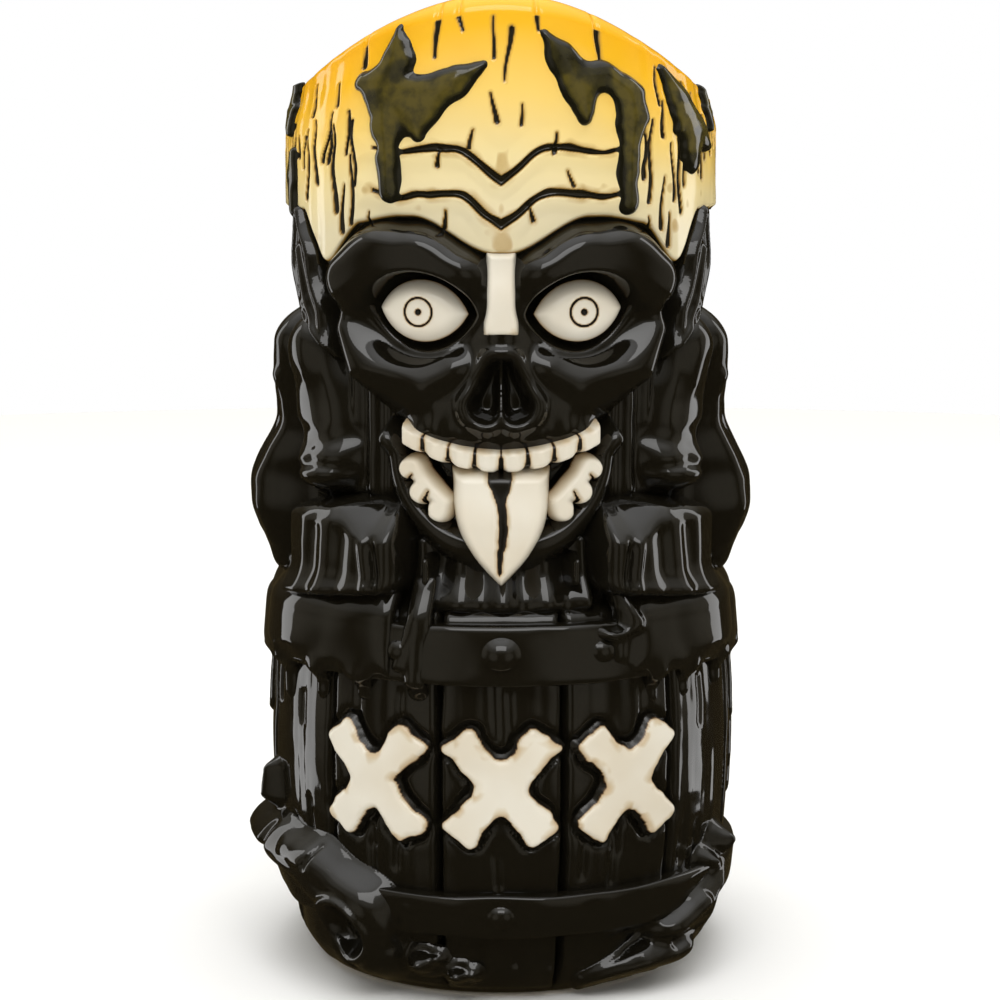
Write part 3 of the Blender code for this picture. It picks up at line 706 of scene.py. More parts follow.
def crown_strokes():
    """Short carved strokes that follow the skull down from the rim, thickest at one end."""
    rng = random.Random(8)
    strokes = []
    first, span, count = 27.5, 97, 58  # on each side, from the temple to the back
    for side in (-1, 1):
        for k in range(count):
            at = side * (first + span * (k + rng.uniform(0.1, 0.9)) / count)
            floor = float(crown_edge(at)) + rng.uniform(0.5, 5)
            low = rng.uniform(floor, 163)
            long = rng.uniform(5, 17)
            lean = side * rng.uniform(-0.6, 1.4)
            high = min(low + long, 172)
            strokes.append(((at, low), (at - lean, high), rng.uniform(0.28, 0.62), rng.uniform(0.1, 0.3)))
    for at, low, high, wide, thin in (
        (-1.0, 156, 161, 0.42, 0.12), (0.9, 163, 172, 0.10, 0.42), (-1.6, 167, 174, 0.30, 0.1),
        (9.2, 150.6, 154.2, 0.40, 0.12), (-5.2, 151.5, 154.6, 0.34, 0.1), (-10.8, 148.3, 151.2, 0.4, 0.1),
        (5.2, 138.8, 141.4, 0.36, 0.1), (-9.8, 137.6, 140.6, 0.42, 0.1), (12.6, 144.8, 147.4, 0.3, 0.1),
        (-11.5, 168, 175, 0.26, 0.5), (-26.6, 170, 175, 0.5, 0.16), (3.4, 155.5, 159, 0.3, 0.1),
        (17.8, 168.5, 175, 0.24, 0.5), (27.2, 146, 156, 0.5, 0.2), (-28.8, 138, 150, 0.5, 0.2),
        (-33.2, 140, 158, 0.62, 0.2), (31.5, 137, 146, 0.5, 0.14), (-24.6, 133.2, 140, 0.42, 0.12),
        (28.6, 132.5, 139, 0.45, 0.12), (6.8, 172, 175.5, 0.16, 0.4), (-7.0, 172, 175.5, 0.16, 0.36),
    ):
        strokes.append(((at, low), (at + rng.uniform(-0.7, 0.7), high), wide, thin))
    return strokes


def crown():
    """The skull cap, rolled over the rim, with its furrows and strokes cut in and inked."""
    columns, rows = 900, 150
    u = around(columns)
    share = np.linspace(0, 1, rows)[:, None]
    low = crown_edge(u)
    lip_height, tucked = 3.6, 7  # how far the lip rises above the wall, and how far it reaches down inside
    top = HEIGHT - lip_height
    v = low + (top - low) * share
    uu = u + 0 * v
    furrow = furrow_lines(uu, v)
    strokes = np.full(v.shape, 9.0)
    for a, b, first, last in crown_strokes():
        near = np.abs(uu - a[0]) < 5
        bend = 0.35 * np.sin((v[near] - a[1]) / 2.2 + a[0])
        strokes[near] = np.minimum(strokes[near], limb(uu[near] + bend, v[near], a, b, first, last))
    fold = 0.5 * bump(np.maximum(furrow, 0) + 0 * v, 3.5)
    cut = -0.95 * smooth(-furrow, -0.45, 0.45) - 0.6 * smooth(-strokes, -0.4, 0.35)
    cut = cut + 0.22 * noise(uu / 2.4, v / 14, 35) * smooth(np.abs(uu), 20, 30)
    radius = crown_radius(v) + hand_made(uu, v) + fold + cut
    radius = radius - 0.9 * (1 - smooth(v - low, 0, 1.1))
    stain = np.maximum(smooth(-furrow, -0.35, 0.15), 0.95 * smooth(-strokes, -0.24, 0.12))
    stain = np.maximum(stain, 0.24 * smooth(-strokes, -1.3, 0))
    smudge = smooth(noise(uu / 5, v / 3.2, 36) + 0.4 * noise(uu / 1.4, v / 2.2, 37), 0.45, 1.0)
    stain = np.maximum(stain, 0.30 * smudge * (1 - smooth(v, 150, 156)))
    stain = np.maximum(stain, 0.30 * smooth(-furrow, -2.2, 0) * (0.6 + 0.6 * noise(uu / 2, v / 2, 31)))
    stain = np.maximum(stain, 0.85 * (1 - smooth(v - low, 0.1, 1.0)))
    outer = wrapped(uu, v, radius)
    lip_inner, lip_outer = HEAD_RADIUS - WALL - 0.4, radius[-1:]
    turn = np.linspace(0, math.pi, 22)[1:, None]
    middle, half = (lip_outer + lip_inner) / 2, (lip_outer - lip_inner) / 2
    square = 1 - 0.42 * smooth(-u, 8, 26) + 0.12 * bump(u - 26, 12)
    bow = np.sign(np.cos(turn)) * np.abs(np.cos(turn)) ** square
    lip = wrapped(u + 0 * turn, top + lip_height * np.clip(np.sin(turn), 0, 1) ** square, middle + half * bow)
    inward = np.linspace(top - 1, top - tucked, 6)[:, None]
    inner = wrapped(u + 0 * inward, inward + 0 * u, lip_inner + 0.25 * smooth(-inward, -top + 1, -top + tucked) + 0 * u)
    tuck = wrapped(u, top - tucked + 0 * u, HEAD_RADIUS - 1.4 + 0 * u)
    back_v = low + (top - tucked - low) * np.linspace(1, 0, 30)[:, None]
    back = wrapped(u + 0 * back_v, back_v, HEAD_RADIUS - 1.2 + 0 * back_v)
    points = np.concatenate([outer, lip, inner, tuck, back])
    spare = np.zeros((len(points) - rows, columns))
    values = {"stain": np.concatenate([stain, spare]).ravel()}
    placed(grid_object("glazed_crown", points, AMBER_GLAZE, values, wrap_rows=True), "crown")


TOOTH = 4.4  # width of a front tooth
SMILE = 96.4  # the middle of the upper teeth
EYE = (14.6, 122.6)
FACE = [(0, 141), (34, 141), (35, 128), (33.5, 118), (30.5, 109), (25, 104.5), (19.5, 102), (17.5, 98), (0, 96)]


def eye_shape(u, v):
    m = np.abs(u)
    return np.maximum(disc(m, v, (14.8, 118.6), 9.8), disc(m, v, (14.4, 126.8), 9.8))


def face():
    """Brows, sockets, cheekbones, the nasal opening and the upper jaw, on textbook skull proportions."""
    def shape(u, v):
        return np.maximum(outline(u, v, FACE), v - crown_edge(u) - 1.2)

    def height(u, v, d):
        m = np.abs(u)
        plate = rounded(np.maximum(outline(u, v, FACE), 0.8 * (v - crown_edge(u) - 1.2)), 5.5, 4.6)
        brow = chain(m, v, [(8.0, 130.0, 1.0), (14, 131.6, 2.2), (22, 131.8, 2.4), (29, 128.0, 1.6)], 3)
        socket = -3.2 * smooth(-ellipse(m, v, (15.2, 120.4), (12.6, 9.6)), -1.5, 5.0)
        eye = eye_shape(u, v)
        lid = 1.3 * bump(np.abs(eye - 1.0), 1.6)
        cheek = chain(m, v, [(9.5, 113.5, 0.5), (16, 110.2, 1.2), (25, 111.8, 1.6), (31, 118, 0.8)], 2)
        bone = 1.8 * bump(np.abs(u), 5.5) * smooth(v, 110, 118) * (1 - smooth(v, 124, 130))
        open_nose = limb(m, v, (2.5, 106.4), (0.9, 113.4), 2.9, 1.1)
        hole = -4.6 * smooth(-open_nose, -0.2, 1.4) + 1.5 * bump(np.abs(open_nose - 1.1), 1.8)
        septum = 2.6 * bump(np.abs(u), 1.3) * smooth(-open_nose, -0.5, 0.5) * (1 - smooth(v, 105, 110))
        jaw = 1.4 * bump(ellipse(u, v, (0, 101), (17, 5.5)), 5.0)
        roots = 0.3 * np.cos(TURN * (m - 2.2) / TOOTH) * smooth(v, 97, 100) * (1 - smooth(v, 101, 106))
        roots = roots * (1 - smooth(m, 14, 18))
        hollow = -1.6 * bump(ellipse(m, v, (22, 105.5), (5, 3)), 4)
        whole = plate + 3.9 * bump(brow, 6.0) + socket + lid + 2.2 * bump(cheek, 4.6) + bone + hole + septum
        whole = whole + jaw + roots + hollow + hand_made(u, v)
        inside = smooth(-(eye - 0.9), -0.9, 0.5)
        return whole * (1 - inside) + np.minimum(whole, 0.9) * inside

    relief("face", shape, height, core_radius, (-38, 92, 38, 142), GLAZE, 0.42, 4,
           nodes=("face", "brow_left", "brow_right", "nose"))


def eyes():
    """Almond eyes with a ring and a dot."""
    for side, name in ((-1, "left"), (1, "right")):
        def shape(u, v, side=side):
            return np.maximum(eye_shape(u, v), -side * u)

        def mark(u, v):
            r = disc(np.abs(u), v, EYE, 0)
            return np.minimum(np.abs(r - 2.5) - 0.22, r - 0.62)

        def height(u, v, d):
            return 1.9 + rounded(d, 3.6, 3.0, 0.4) - 0.3 * smooth(-mark(u, v), -0.25, 0.15)

        def stain(u, v, d):
            line = smooth(-mark(u, v), -0.22, 0.10)
            return np.maximum(line, smooth(d, -0.45, 0.05) + 0.25 * smooth(d, -1.4, -0.2))

        relief("eye_" + name, shape, height, core_radius, (-26, 114, 26, 131), CREAM_GLAZE, 0.25, 2, 0.3, stain=stain)


def nose_bridge():
    def shape(u, v):
        flare = 3.1 + 0.5 * smooth(-v, -125, -119) + 0.14 * noise(u * 0 + v / 3, v * 0, 41)
        return np.maximum(np.abs(u) - flare, np.maximum(118.2 - v, v - crown_edge(u) - 1.0))

    def stain(u, v, d):
        return np.maximum(smooth(d, -0.5, 0.0), 0.5 * smooth(-v, -121.5, -118.5) * (0.6 + noise(u, v / 2, 42)))

    def height(u, v, d):
        return rounded(np.maximum(d, np.abs(u) - 3.5), 1.4, 7.6 - 1.8 * smooth(v, 124, 132), 0.5)

    relief("nose_bridge", shape, height, core_radius, (-6, 116, 6, 136), CREAM_GLAZE, 0.28, 2, 0.4, stain=stain)


def smile(u):
    """How far the row of upper teeth curves up towards the corners of the mouth."""
    return 4.6 * (u / 17) ** 2


def tooth_gaps(u):
    """Distance to the nearest gap between upper teeth."""
    return np.minimum.reduce([np.abs(np.abs(u) - TOOTH * k) for k in range(4)])


def teeth():
    """A curved upper row, and a short row on each side of the lower jaw."""
    def shape(u, v):
        scallop = 0.55 * bump(tooth_gaps(u), 1.3) * (v < SMILE + smile(u))
        return np.maximum(np.abs(v - SMILE - smile(u)) - 2.6, np.abs(u) - 17.8) + scallop

    def stain(u, v, d):
        level = v - smile(u)
        gap = 0.52 - 0.34 * smooth(level, 94, 98.6) + 0.12 * noise(u / 2, v / 2, 43)
        line = smooth(-(tooth_gaps(u) - gap), -0.24, 0.10)
        halo = 0.34 * smooth(-(tooth_gaps(u) - gap), -1.1, 0)
        gum = 0.52 * smooth(level, 96.6, 98.9) * (0.75 + 0.5 * noise(u, v, 44))
        return np.maximum.reduce([line, halo, smooth(d, -0.5, 0.0), 0.3 * smooth(d, -1.6, -0.2), gum])

    def height(u, v, d):
        dome = 0.75 * (1 - bump(tooth_gaps(u), 1.9))
        return rounded(d, 1.5, 6.6, 0.5) + dome

    relief("upper_teeth", shape, height, core_radius, (-21, 90, 21, 106), CREAM_GLAZE, 0.28, 2, 0.4, stain=stain)

    crowns = ((10.9, 87.4), (14.1, 90.5), (16.0, 94.6))
    gaps = (((13.2, 87.2, 0.45), (13.3, 89.2, 0.3), (12.5, 90.8, 0.12)),
            ((17.6, 90.8, 0.45), (16.7, 92.3, 0.3), (15.4, 93.7, 0.12)))
    for side, name in ((-1, "left"), (1, "right")):
        def lower(u, v, side=side):
            each = np.minimum.reduce([disc(side * u, v, at, 2.9) for at in crowns])
            row = chain(side * u, v, [(15.3, 95.4, 2.2), (13.0, 91.8, 2.2), (9.8, 88.9, 2.2)], 1)
            return blend(each, row, 0.8) + 0.12 * noise(u / 2.5, v / 2.5, 45)

        def notch(u, v, side=side):
            return np.minimum(chain(side * u, v, gaps[0]), chain(side * u, v, gaps[1]))

        def lower_stain(u, v, d, notch=notch):
            dark = np.maximum(smooth(-notch(u, v), -0.15, 0.1), 0.35 * smooth(-notch(u, v), -1.0, 0))
            return np.maximum(dark, smooth(d, -0.5, 0.0) + 0.42 * smooth(d, -1.7, -0.2))

        def lower_height(u, v, d, notch=notch):
            return rounded(d, 1.8, 6.4, 0.5) - 0.9 * smooth(-notch(u, v), -0.5, 0.1)

        relief("lower_teeth_" + name, lower, lower_height, core_radius, (-24, 80, 24, 100), CREAM_GLAZE, 0.25, 2, 0.4,
               stain=lower_stain)


def jaw():
    """The lower jaw round the open mouth, with its corner joints."""
    def shape(u, v):
        bowl = np.maximum(ellipse(u, v, (0, 98), (23.0, 22.5)), v - 91.5 - 10.5 * (u / 20) ** 2)
        return blend(bowl, disc(np.abs(u), v, (21.4, 99.5), 3.0), 2)

    def height(u, v, d):
        body = rounded(d, 4.2, 5.2)
        cavity = -3.4 * smooth(-ellipse(u, v, (0, 96.5), (18.6, 15.0)), -0.3, 2.0)
        chin = 0.6 * bump(ellipse(u, v, (0, 79.5), (7, 3)), 5)
        joint = 1.0 * bump(disc(np.abs(u), v, (21.4, 99.5), 0.8), 2.6)
        return np.maximum(body + cavity + chin + joint, 0.2 * (d < 0) - 0.4 * (d > 0)) + hand_made(u, v) * (d < -1)

    relief("lower_jaw", shape, height, core_radius, (-28, 72, 28, 106), GLAZE, 0.42, 4,
           nodes=("lower_jaw", "mouth_lining"))


def tongue():
    """A pointed tongue that hangs over the chin, with a dark crease down the middle."""
    root, length, half_width = 95.5, 22.3, 9.3

    def shape(u, v):
        t = np.clip((root - v) / length, 0, 1)
        half = half_width * (1 - t ** 2.9) + 0.2 * noise(v / 4, 0 * v, 51)
        return np.maximum(np.abs(u) - half, v - root) * 0.8

    def crease(u, v):
        bend = 0.35 * np.sin(v / 3.2) + 0.15 * noise(v / 1.1, 0 * v, 52)
        half = 0.62 - 0.32 * smooth(-v, -84, -77) - 0.9 * smooth(-v, -77, -75) + 1.3 * smooth(v, 88.5, 93.5)
        return np.abs(u - bend) - half

    def height(u, v, d):
        curl = 6.2 + 1.5 * smooth(-v, -93, -85)
        return 1.0 + rounded(d, 2.6, curl, 0.5) - 0.7 * smooth(-crease(u, v), -0.7, 0.3)

    def stain(u, v, d):
        edge = smooth(d, -0.5, 0.05) + 0.28 * smooth(d, -2.0, -0.2) * (0.8 + noise(u / 1.6, v / 1.6, 53))
        rim = 0.36 * smooth(-crease(u, v), -1.3, 0) * (0.8 + 0.6 * noise(u, v / 2, 54))
        return np.maximum(np.maximum(smooth(-crease(u, v), -0.35, 0.08), rim), edge)

    relief("tongue", shape, height, core_radius, (-12, 70, 12, 97), CREAM_GLAZE, 0.26, 3, 0.4, stain=stain)


def neck():
    """Cords between the chin and the barrel."""
    def shape(u, v):
        return block(u, v, (0, 75.5), (17.5, 7.5), 2)

    def height(u, v, d):
        cords = 0.8 * np.cos(TURN * (u + 0.6 * noise(v / 7, 0 * v, 61)) / 7.6) + 0.6 * noise(u / 3.6, v / 14, 62)
        return rounded(d, 2.5, 3.0 - 1.2 * smooth(v, 72, 80)) + cords * smooth(-d, 0, 2)

    relief("neck", shape, height, core_radius, (-20, 66, 20, 86), GLAZE, 0.42, 3)


def ears():
    """Long leaf-shaped ears with a rolled rim, swept down to the cheek."""
    def shape(u, v):
        return chain(np.abs(u), v, [(46.5, 139, 2.6), (45, 131, 5.4), (39.6, 121.5, 3.9), (33.4, 113.6, 1.0)], 2.5)

    def height(u, v, d):
        m = np.abs(u)
        rim = rounded(d, 2.4, 6.4) - 0.8 * smooth(m, 42, 50)
        bowl = -1.5 * smooth(-d, 0.9, 3.4)
        return rim + bowl + 0.8 * ridge(m, v, [(45.6, 132.5), (41.5, 123), (35.5, 115)], 1.2)

    pair("ear", shape, height, 30, 56, 104, 146, 0.34, 3, ("ear",))


# ---------------------------------------------------------------- limbs


def arms():
    """Each arm: a heavy upper arm, a squared elbow knob and a forearm, with hanging folds beside the face."""
    def upper(m, v):
        return chain(m, v, [(60, 76.5, 8.0), (60, 84, 8.6), (57.5, 96, 7.8), (54.5, 104, 7.2), (51.0, 115.0, 7.6)], 4)

    def fore(m, v):
        return chain(m, v, [(42.0, 114.4, 8.2), (40, 104, 9.0), (37.0, 95.5, 9.6)], 4)

    def drape(m, v):
        return block(m, v, (27.5, 101), (6.5, 13.5), 3)

    def shape(u, v):
        m = np.abs(u)
        return blend(blend(upper(m, v), fore(m, v), 3), drape(m, v), 1.5)

    def line(m, v, points, wide):
        return ridge(m, v, points, wide, soft=0.8)

    def height(u, v, d):
        m = np.abs(u)
        bulk = 5.9 + 4.9 * smooth(-v, -101, -88) + 1.9 * smooth(v, 103, 110)
        bulk = bulk - 2.6 * smooth(-v, -84, -72)
        big = rounded(upper(m, v), 8.5, bulk)
        cuff = smooth(v, 87.5, 90.5) * (1 - smooth(v, 91, 98.5))
        small = rounded(fore(m, v), 7.5, 5.8 + 2.8 * cuff + 1.8 * smooth(v, 104, 115))
        body = blend(-big, -small, 1.2) * -1
        pleat = 0.55 * np.cos(TURN * (m + 0.7 * noise(v / 12, 0 * v, 65)) / 4.4)
        body = np.maximum(body, rounded(drape(m, v), 2.5, 2.0) + pleat * smooth(-drape(m, v), 0, 2))
        cords = 0.8 * line(m, v, [(57.5, 113), (56.8, 103), (60.5, 90), (62, 79)], 2.8)
        cords = cords + 0.8 * line(m, v, [(51.5, 108), (52.2, 100), (55.5, 88), (56.0, 77)], 2.4)
        cords = cords - 0.9 * line(m, v, [(46.6, 119), (46.0, 109), (46.6, 101)], 1.8)
        cords = cords - 0.5 * line(m, v, [(37.5, 118), (37.0, 108), (35.5, 102)], 2.2)
        folds = -0.5 * line(m, v, [(30, 99.6), (38, 98.4), (46, 99.5)], 2.6)
        folds = folds - 0.8 * line(m, v, [(30, 93.6), (37, 94.0), (43, 92.4), (48.5, 87.0)], 1.2)
        return body + (cords + folds + 2.0 * hand_made(u, v)) * smooth(-d, 0.4, 3)

    pair("arm", shape, height, 18, 72, 64, 124, 0.42, 4, ("upper_arm", "forearm"))


FIST = (29.8, 79.4)
FINGER_GAPS = (27.4, 33.6)  # the creases between the fingers


def hands():
    """Fists that rest on the barrel's rim: square at the knuckles, with a flat back that slopes up to the wrist."""
    def tilted(m, v):
        return v + 0.13 * (m - FIST[0])

    def fist(m, v):
        return block(m, tilted(m, v), FIST, (13.6, 9.9), 3.4)

    def thumb(m, v):
        return chain(m, v, [(13.1, 74.4, 1.5), (13.2, 78.0, 1.5)])

    def shape(u, v):
        m = np.abs(u)
        return blend(fist(m, v), thumb(m, v), 0.8)

    def height(u, v, d):
        m = np.abs(u)
        level = tilted(m, v)
        edge = 84.6 - 4.6 * (1 - smooth(m, 20.5, 30)) + 1.2 * smooth(m, 30, 40)
        back = np.clip(level - edge, 0, 8)
        front = 10.2 - 1.2 * smooth(m, 33, 42)
        body = rounded(fist(m, v), 2.8, front) - 0.62 * back - 0.07 * back ** 2
        gap = np.minimum.reduce([np.abs(m - at - 0.10 * (77 - v)) for at in FINGER_GAPS])
        low = (1 - smooth(level, edge - 2.0, edge + 2.0)) * smooth(-d, 0.2, 2.4)
        fingers = -0.75 * bump(gap, 2.6) * low
        lean = 0.10 * (v - 74)
        pinch = (-1.6 * bump(np.abs(m - 20.4 - lean), 0.9) + 0.7 * bump(np.abs(m - 22.0 - lean), 1.1)) * low
        tip = rounded(thumb(m, v), 1.5, 6.4)
        return np.maximum(body + fingers + pinch, tip) + 1.4 * hand_made(u, v) * smooth(-d, 0.3, 2)

    pair("hand", shape, height, 10, 46, 66, 94, 0.34, 3, ("hand", "thumb"))


TOES = (((-13.6, 3.6), 3.3), ((-11.2, 4.6), 1.9), ((-7.4, 1.4), 2.8), ((-5.0, 1.7), 1.7))
TOE_BALLS = (((-14.2, 3.4), 3.2, 1.9), ((-11.0, 4.5), 2.0, 1.5), ((-7.9, 1.4), 2.8, 1.7), ((-5.0, 1.7), 1.9, 1.4))
TABLE = 0.6 - LIFT  # nothing on the foot reaches below this


def claws():
    """Bony limbs that lie across the foot of the barrel, with a cut joint, knuckles and toes."""
    def left(u, v):
        leg = [(-57.5, 21.0, 4.8), (-46, 19.6, 5.0), (-34, 17.2, 6.6), (-25.2, 11.6, 7.6), (-23, 4.5, 6.4)]
        nub = limb(u, v, (-50.8, 33.4), (-51.3, 28), 1.9, 2.6)
        toes = np.minimum.reduce([disc(u, v, at, r) for at, r in TOES])
        return np.maximum(blend(blend(chain(u, v, leg, 3), nub, 1.2), toes, 0.7), TABLE - v)

    def left_height(u, v, d):
        body = rounded(d, 7.6, 5.8 + 0.4 * smooth(np.abs(u), 44, 54))
        cap = ellipse(u, v, (-26.0, 9.0), (5.8, 4.2), -62)
        dish = 1.5 * bump(np.abs(cap), 1.1) - 3.6 * smooth(-cap, 0.1, 2.8)
        bone = 0.8 * ridge(u, v, [(-40, 22.0), (-33, 20.6), (-23.5, 16.0), (-18.6, 9.5)], 2.6, 0.4)
        cord = bone - 1.2 * bump(np.abs(limb(u, v, (-31.6, 25), (-33.6, 19.4))), 0.8)
        hollow = -1.2 * ridge(u, v, [(-44, 16.4), (-37, 15.0), (-33.4, 11.8)], 1.4)
        hollow = hollow - 0.9 * ridge(u, v, [(-53, 15.6), (-48, 19), (-46.5, 24)], 1.3)
        balls = sum(h * knob(u, v, at, r) for at, r, h in TOE_BALLS)
        low = -1.6 * smooth(u, -18.5, -16.0)
        return body + (dish + cord + hollow + 2 * hand_made(u, v)) * smooth(-d, 0.4, 2) + balls + low * smooth(-d, 0, 1)

    def right(u, v):
        bones = chain(u, v, [(46.6, 20.8, 3.2), (44, 15, 3.6), (38.5, 9.5, 5.4), (31.5, 7.4, 5.0)], 2.5)
        lobe = disc(u, v, (41.6, 17.8), 2.4)
        palm = chain(u, v, [(34, 3.0, 5.4), (26, 2.0, 3.6), (15.6, -1.0, 1.6)], 1.5)
        first = chain(u, v, [(31, 11.0, 2.6), (24.0, 10.4, 1.4), (19.6, 8.8, 0.7)], 1)
        return np.maximum(blend(blend(blend(bones, lobe, 1.0), palm, 2), first, 1.5), TABLE - v)

    def right_height(u, v, d):
        body = rounded(d, 6.5, 5.2 - 0.8 * smooth(u, 40, 48) - 1.2 * (1 - smooth(u, 18, 27)))
        knee = 1.3 * knob(u, v, (46.4, 20.8), 3.2) + 1.2 * knob(u, v, (41.8, 17.6), 2.6)
        knee = knee + 0.8 * knob(u, v, (43.6, 12.8), 2.4) - 0.8 * bump(limb(u, v, (43, 20.4), (47, 16.6)), 0.9)
        cords = 0.9 * ridge(u, v, [(37.5, 11.5), (31.5, 8.6), (26, 7.2)], 1.8, 0.3)
        hollow = -1.2 * ridge(u, v, [(33.5, 12.6), (29, 10.4)], 1.6)
        hollow = hollow - 1.0 * ridge(u, v, [(38, 6.6), (32, 4.6)], 1.8)
        slots = limb(u, v, (24.6, 9.0), (16.4, 4.0), 0.75, 0.25)
        slots = np.minimum(slots, limb(u, v, (26.2, 6.2), (17.2, 2.0), 0.95, 0.3))
        slots = -3.4 * smooth(-slots, -0.5, 0.5)
        return body + (knee + cords + hollow + 2 * hand_made(u, v)) * smooth(-d, 0.4, 2.4) + slots * smooth(-d, 0, 0.8)

    relief("claw_left", left, left_height, stave_radius, (-63, -4, 0, 38), GLAZE, 0.36, 3)
    relief("claw_right", right, right_height, stave_radius, (13, -4, 58, 32), GLAZE, 0.30, 2)


# ---------------------------------------------------------------- runs of glaze


def crown_runs():
    """Thick dark glaze that has slumped down from the rim."""
    left = (
        [(-18.9, 175, 0.9), (-19.4, 168.5, 3.6), (-21.2, 165, 4.6), (-26.0, 166.8, 2.2)],
        [(-20.5, 163.0, 4.8), (-15.0, 159.8, 4.8), (-8.2, 163.0, 2.8), (-3.0, 165.8, 0.6)],
        [(-15.4, 160, 3.8), (-14.3, 153.6, 1.3)],
        [(-20.8, 163, 4.4), (-20.6, 156, 3.0), (-20.2, 149.5, 2.3), (-20.1, 143.6, 2.35)],
        [(-50.5, 178, 1.8), (-51.5, 168, 2.6), (-50.3, 158, 1.7)],
        [(-47.6, 151, 1.6), (-48.6, 146, 2.3), (-48.2, 139.5, 1.5)],
    )
    right = (
        [(7.8, 171.4, 0.7), (11, 167.4, 2.9), (13.9, 162.6, 3.3), (14.7, 157.2, 1.5)],
        [(13.8, 164.4, 3.2), (19, 166.0, 2.6), (23.6, 163.6, 3.6), (24.4, 158, 3.2)],
        [(24.2, 159, 3.3), (23.4, 150.5, 2.1), (23.4, 142.0, 2.4)],
        [(32.6, 171.8, 1.8), (36.6, 167.0, 4.2), (40.6, 158.5, 5.0), (40.4, 149.6, 3.0)],
        [(41.6, 160.5, 4.0), (46.4, 152.5, 2.0)],
        [(36.4, 163.5, 3.0), (36.0, 157, 1.3)],
        [(48.5, 175, 1.6), (49.6, 167, 2.2), (49.2, 160, 1.4)],
    )
    for name, chains, box in (("left", left, (-56, 136, 1, 178)), ("right", right, (4, 136, 54, 178))):
        def shape(u, v, chains=chains):
            return union(1.6, (chain(u, v, points, 1.4) for points in chains)) + 0.30 * noise(u / 2.3, v / 2.3, 71)

        def height(u, v, d):
            return rounded(d, 1.5, 0.95, 0.3) + 0.45 * smooth(-d, 0.4, 3.6)

        def thick(u, v, d):
            pooled = 0.30 * smooth(-v, -152, -143) + 0.34 * smooth(noise(u / 4.5, v / 4.5, 72), 0.0, 0.8)
            return np.clip(0.10 + 0.75 * (1 - smooth(-d, 0.2, 1.5)) + pooled, 0, 1)

        relief("crown_run_" + name, shape, height, crown_radius, box, OLIVE_GLAZE, 0.3, 3, 0.3, thick=thick)


BARREL_RUNS = {  # side, where the apron starts (0 for none) and its seed, then the drips
    "barrel_run_left": ((-1, 0, 0), (
        [(-13.4, 74, 1.9), (-13.7, 66, 1.7), (-14.0, 60, 1.2), (-13.9, 54.5, 1.5)],
        [(-13.6, 67, 1.4), (-15.8, 62, 1.0), (-16.4, 59.5, 1.2)],
    )),
    "barrel_run_outer_left": ((-1, 17.6, 83), (
        [(-24, 66, 2.4), (-24.2, 57, 1.5), (-24.0, 53.5, 1.3)],
        [(-33, 66, 2.4), (-33.4, 57, 1.6), (-33.8, 52, 1.2)],
        [(-44, 70, 3.0), (-44.6, 56, 2.2), (-44.4, 50, 1.3)],
        [(-60, 66, 7), (-60.5, 54, 4.6), (-61, 45.5, 3.4)],
        [(-76, 66, 4), (-76.4, 55, 2.6), (-76, 47.5, 1.8)],
    )),
    "barrel_run_right": ((1, 21.6, 87), (
        [(19.6, 74, 1.0), (21.4, 70.5, 1.4), (22.0, 66.6, 1.5), (19.6, 64.6, 1.2), (16.8, 65.2, 1.1)],
        [(27, 62, 2.0), (27.1, 55, 0.9), (27.1, 52.0, 0.8)],
        [(34.8, 62, 2.2), (34.8, 56, 1.2), (34.9, 52.2, 1.0)],
        [(19.6, 64, 1.5), (19.4, 60.8, 1.2)],
        [(46, 70, 3.0), (46.6, 58, 2.0), (46.4, 52, 1.2)],
        [(61, 66, 7), (61.4, 54, 4.4), (61, 43.5, 3.0)],
        [(78, 66, 4), (78.2, 56, 2.4), (78, 50.5, 1.6)],
        [(65, 64, 5), (65.6, 46, 3.8), (65.2, 27, 2.6)],
    )),
}


def apron(m, v, start, seed):
    """A melted sheet from this far round, that ends along the lower edge of the hoop."""
    low = 57.4 + 0.8 * noise(m / 6, 0 * m, seed) + 0.5 * noise(m / 2.6, 0 * m, seed + 1) + 2.5 * smooth(m, 44, 60)
    inner = start + 0.8 * noise(v / 3.5, 0 * v, seed + 2) - m
    return np.maximum(np.maximum(low - v, inner), m - 86 - 2 * noise(v / 4, 0 * v, seed + 3)) * 0.9


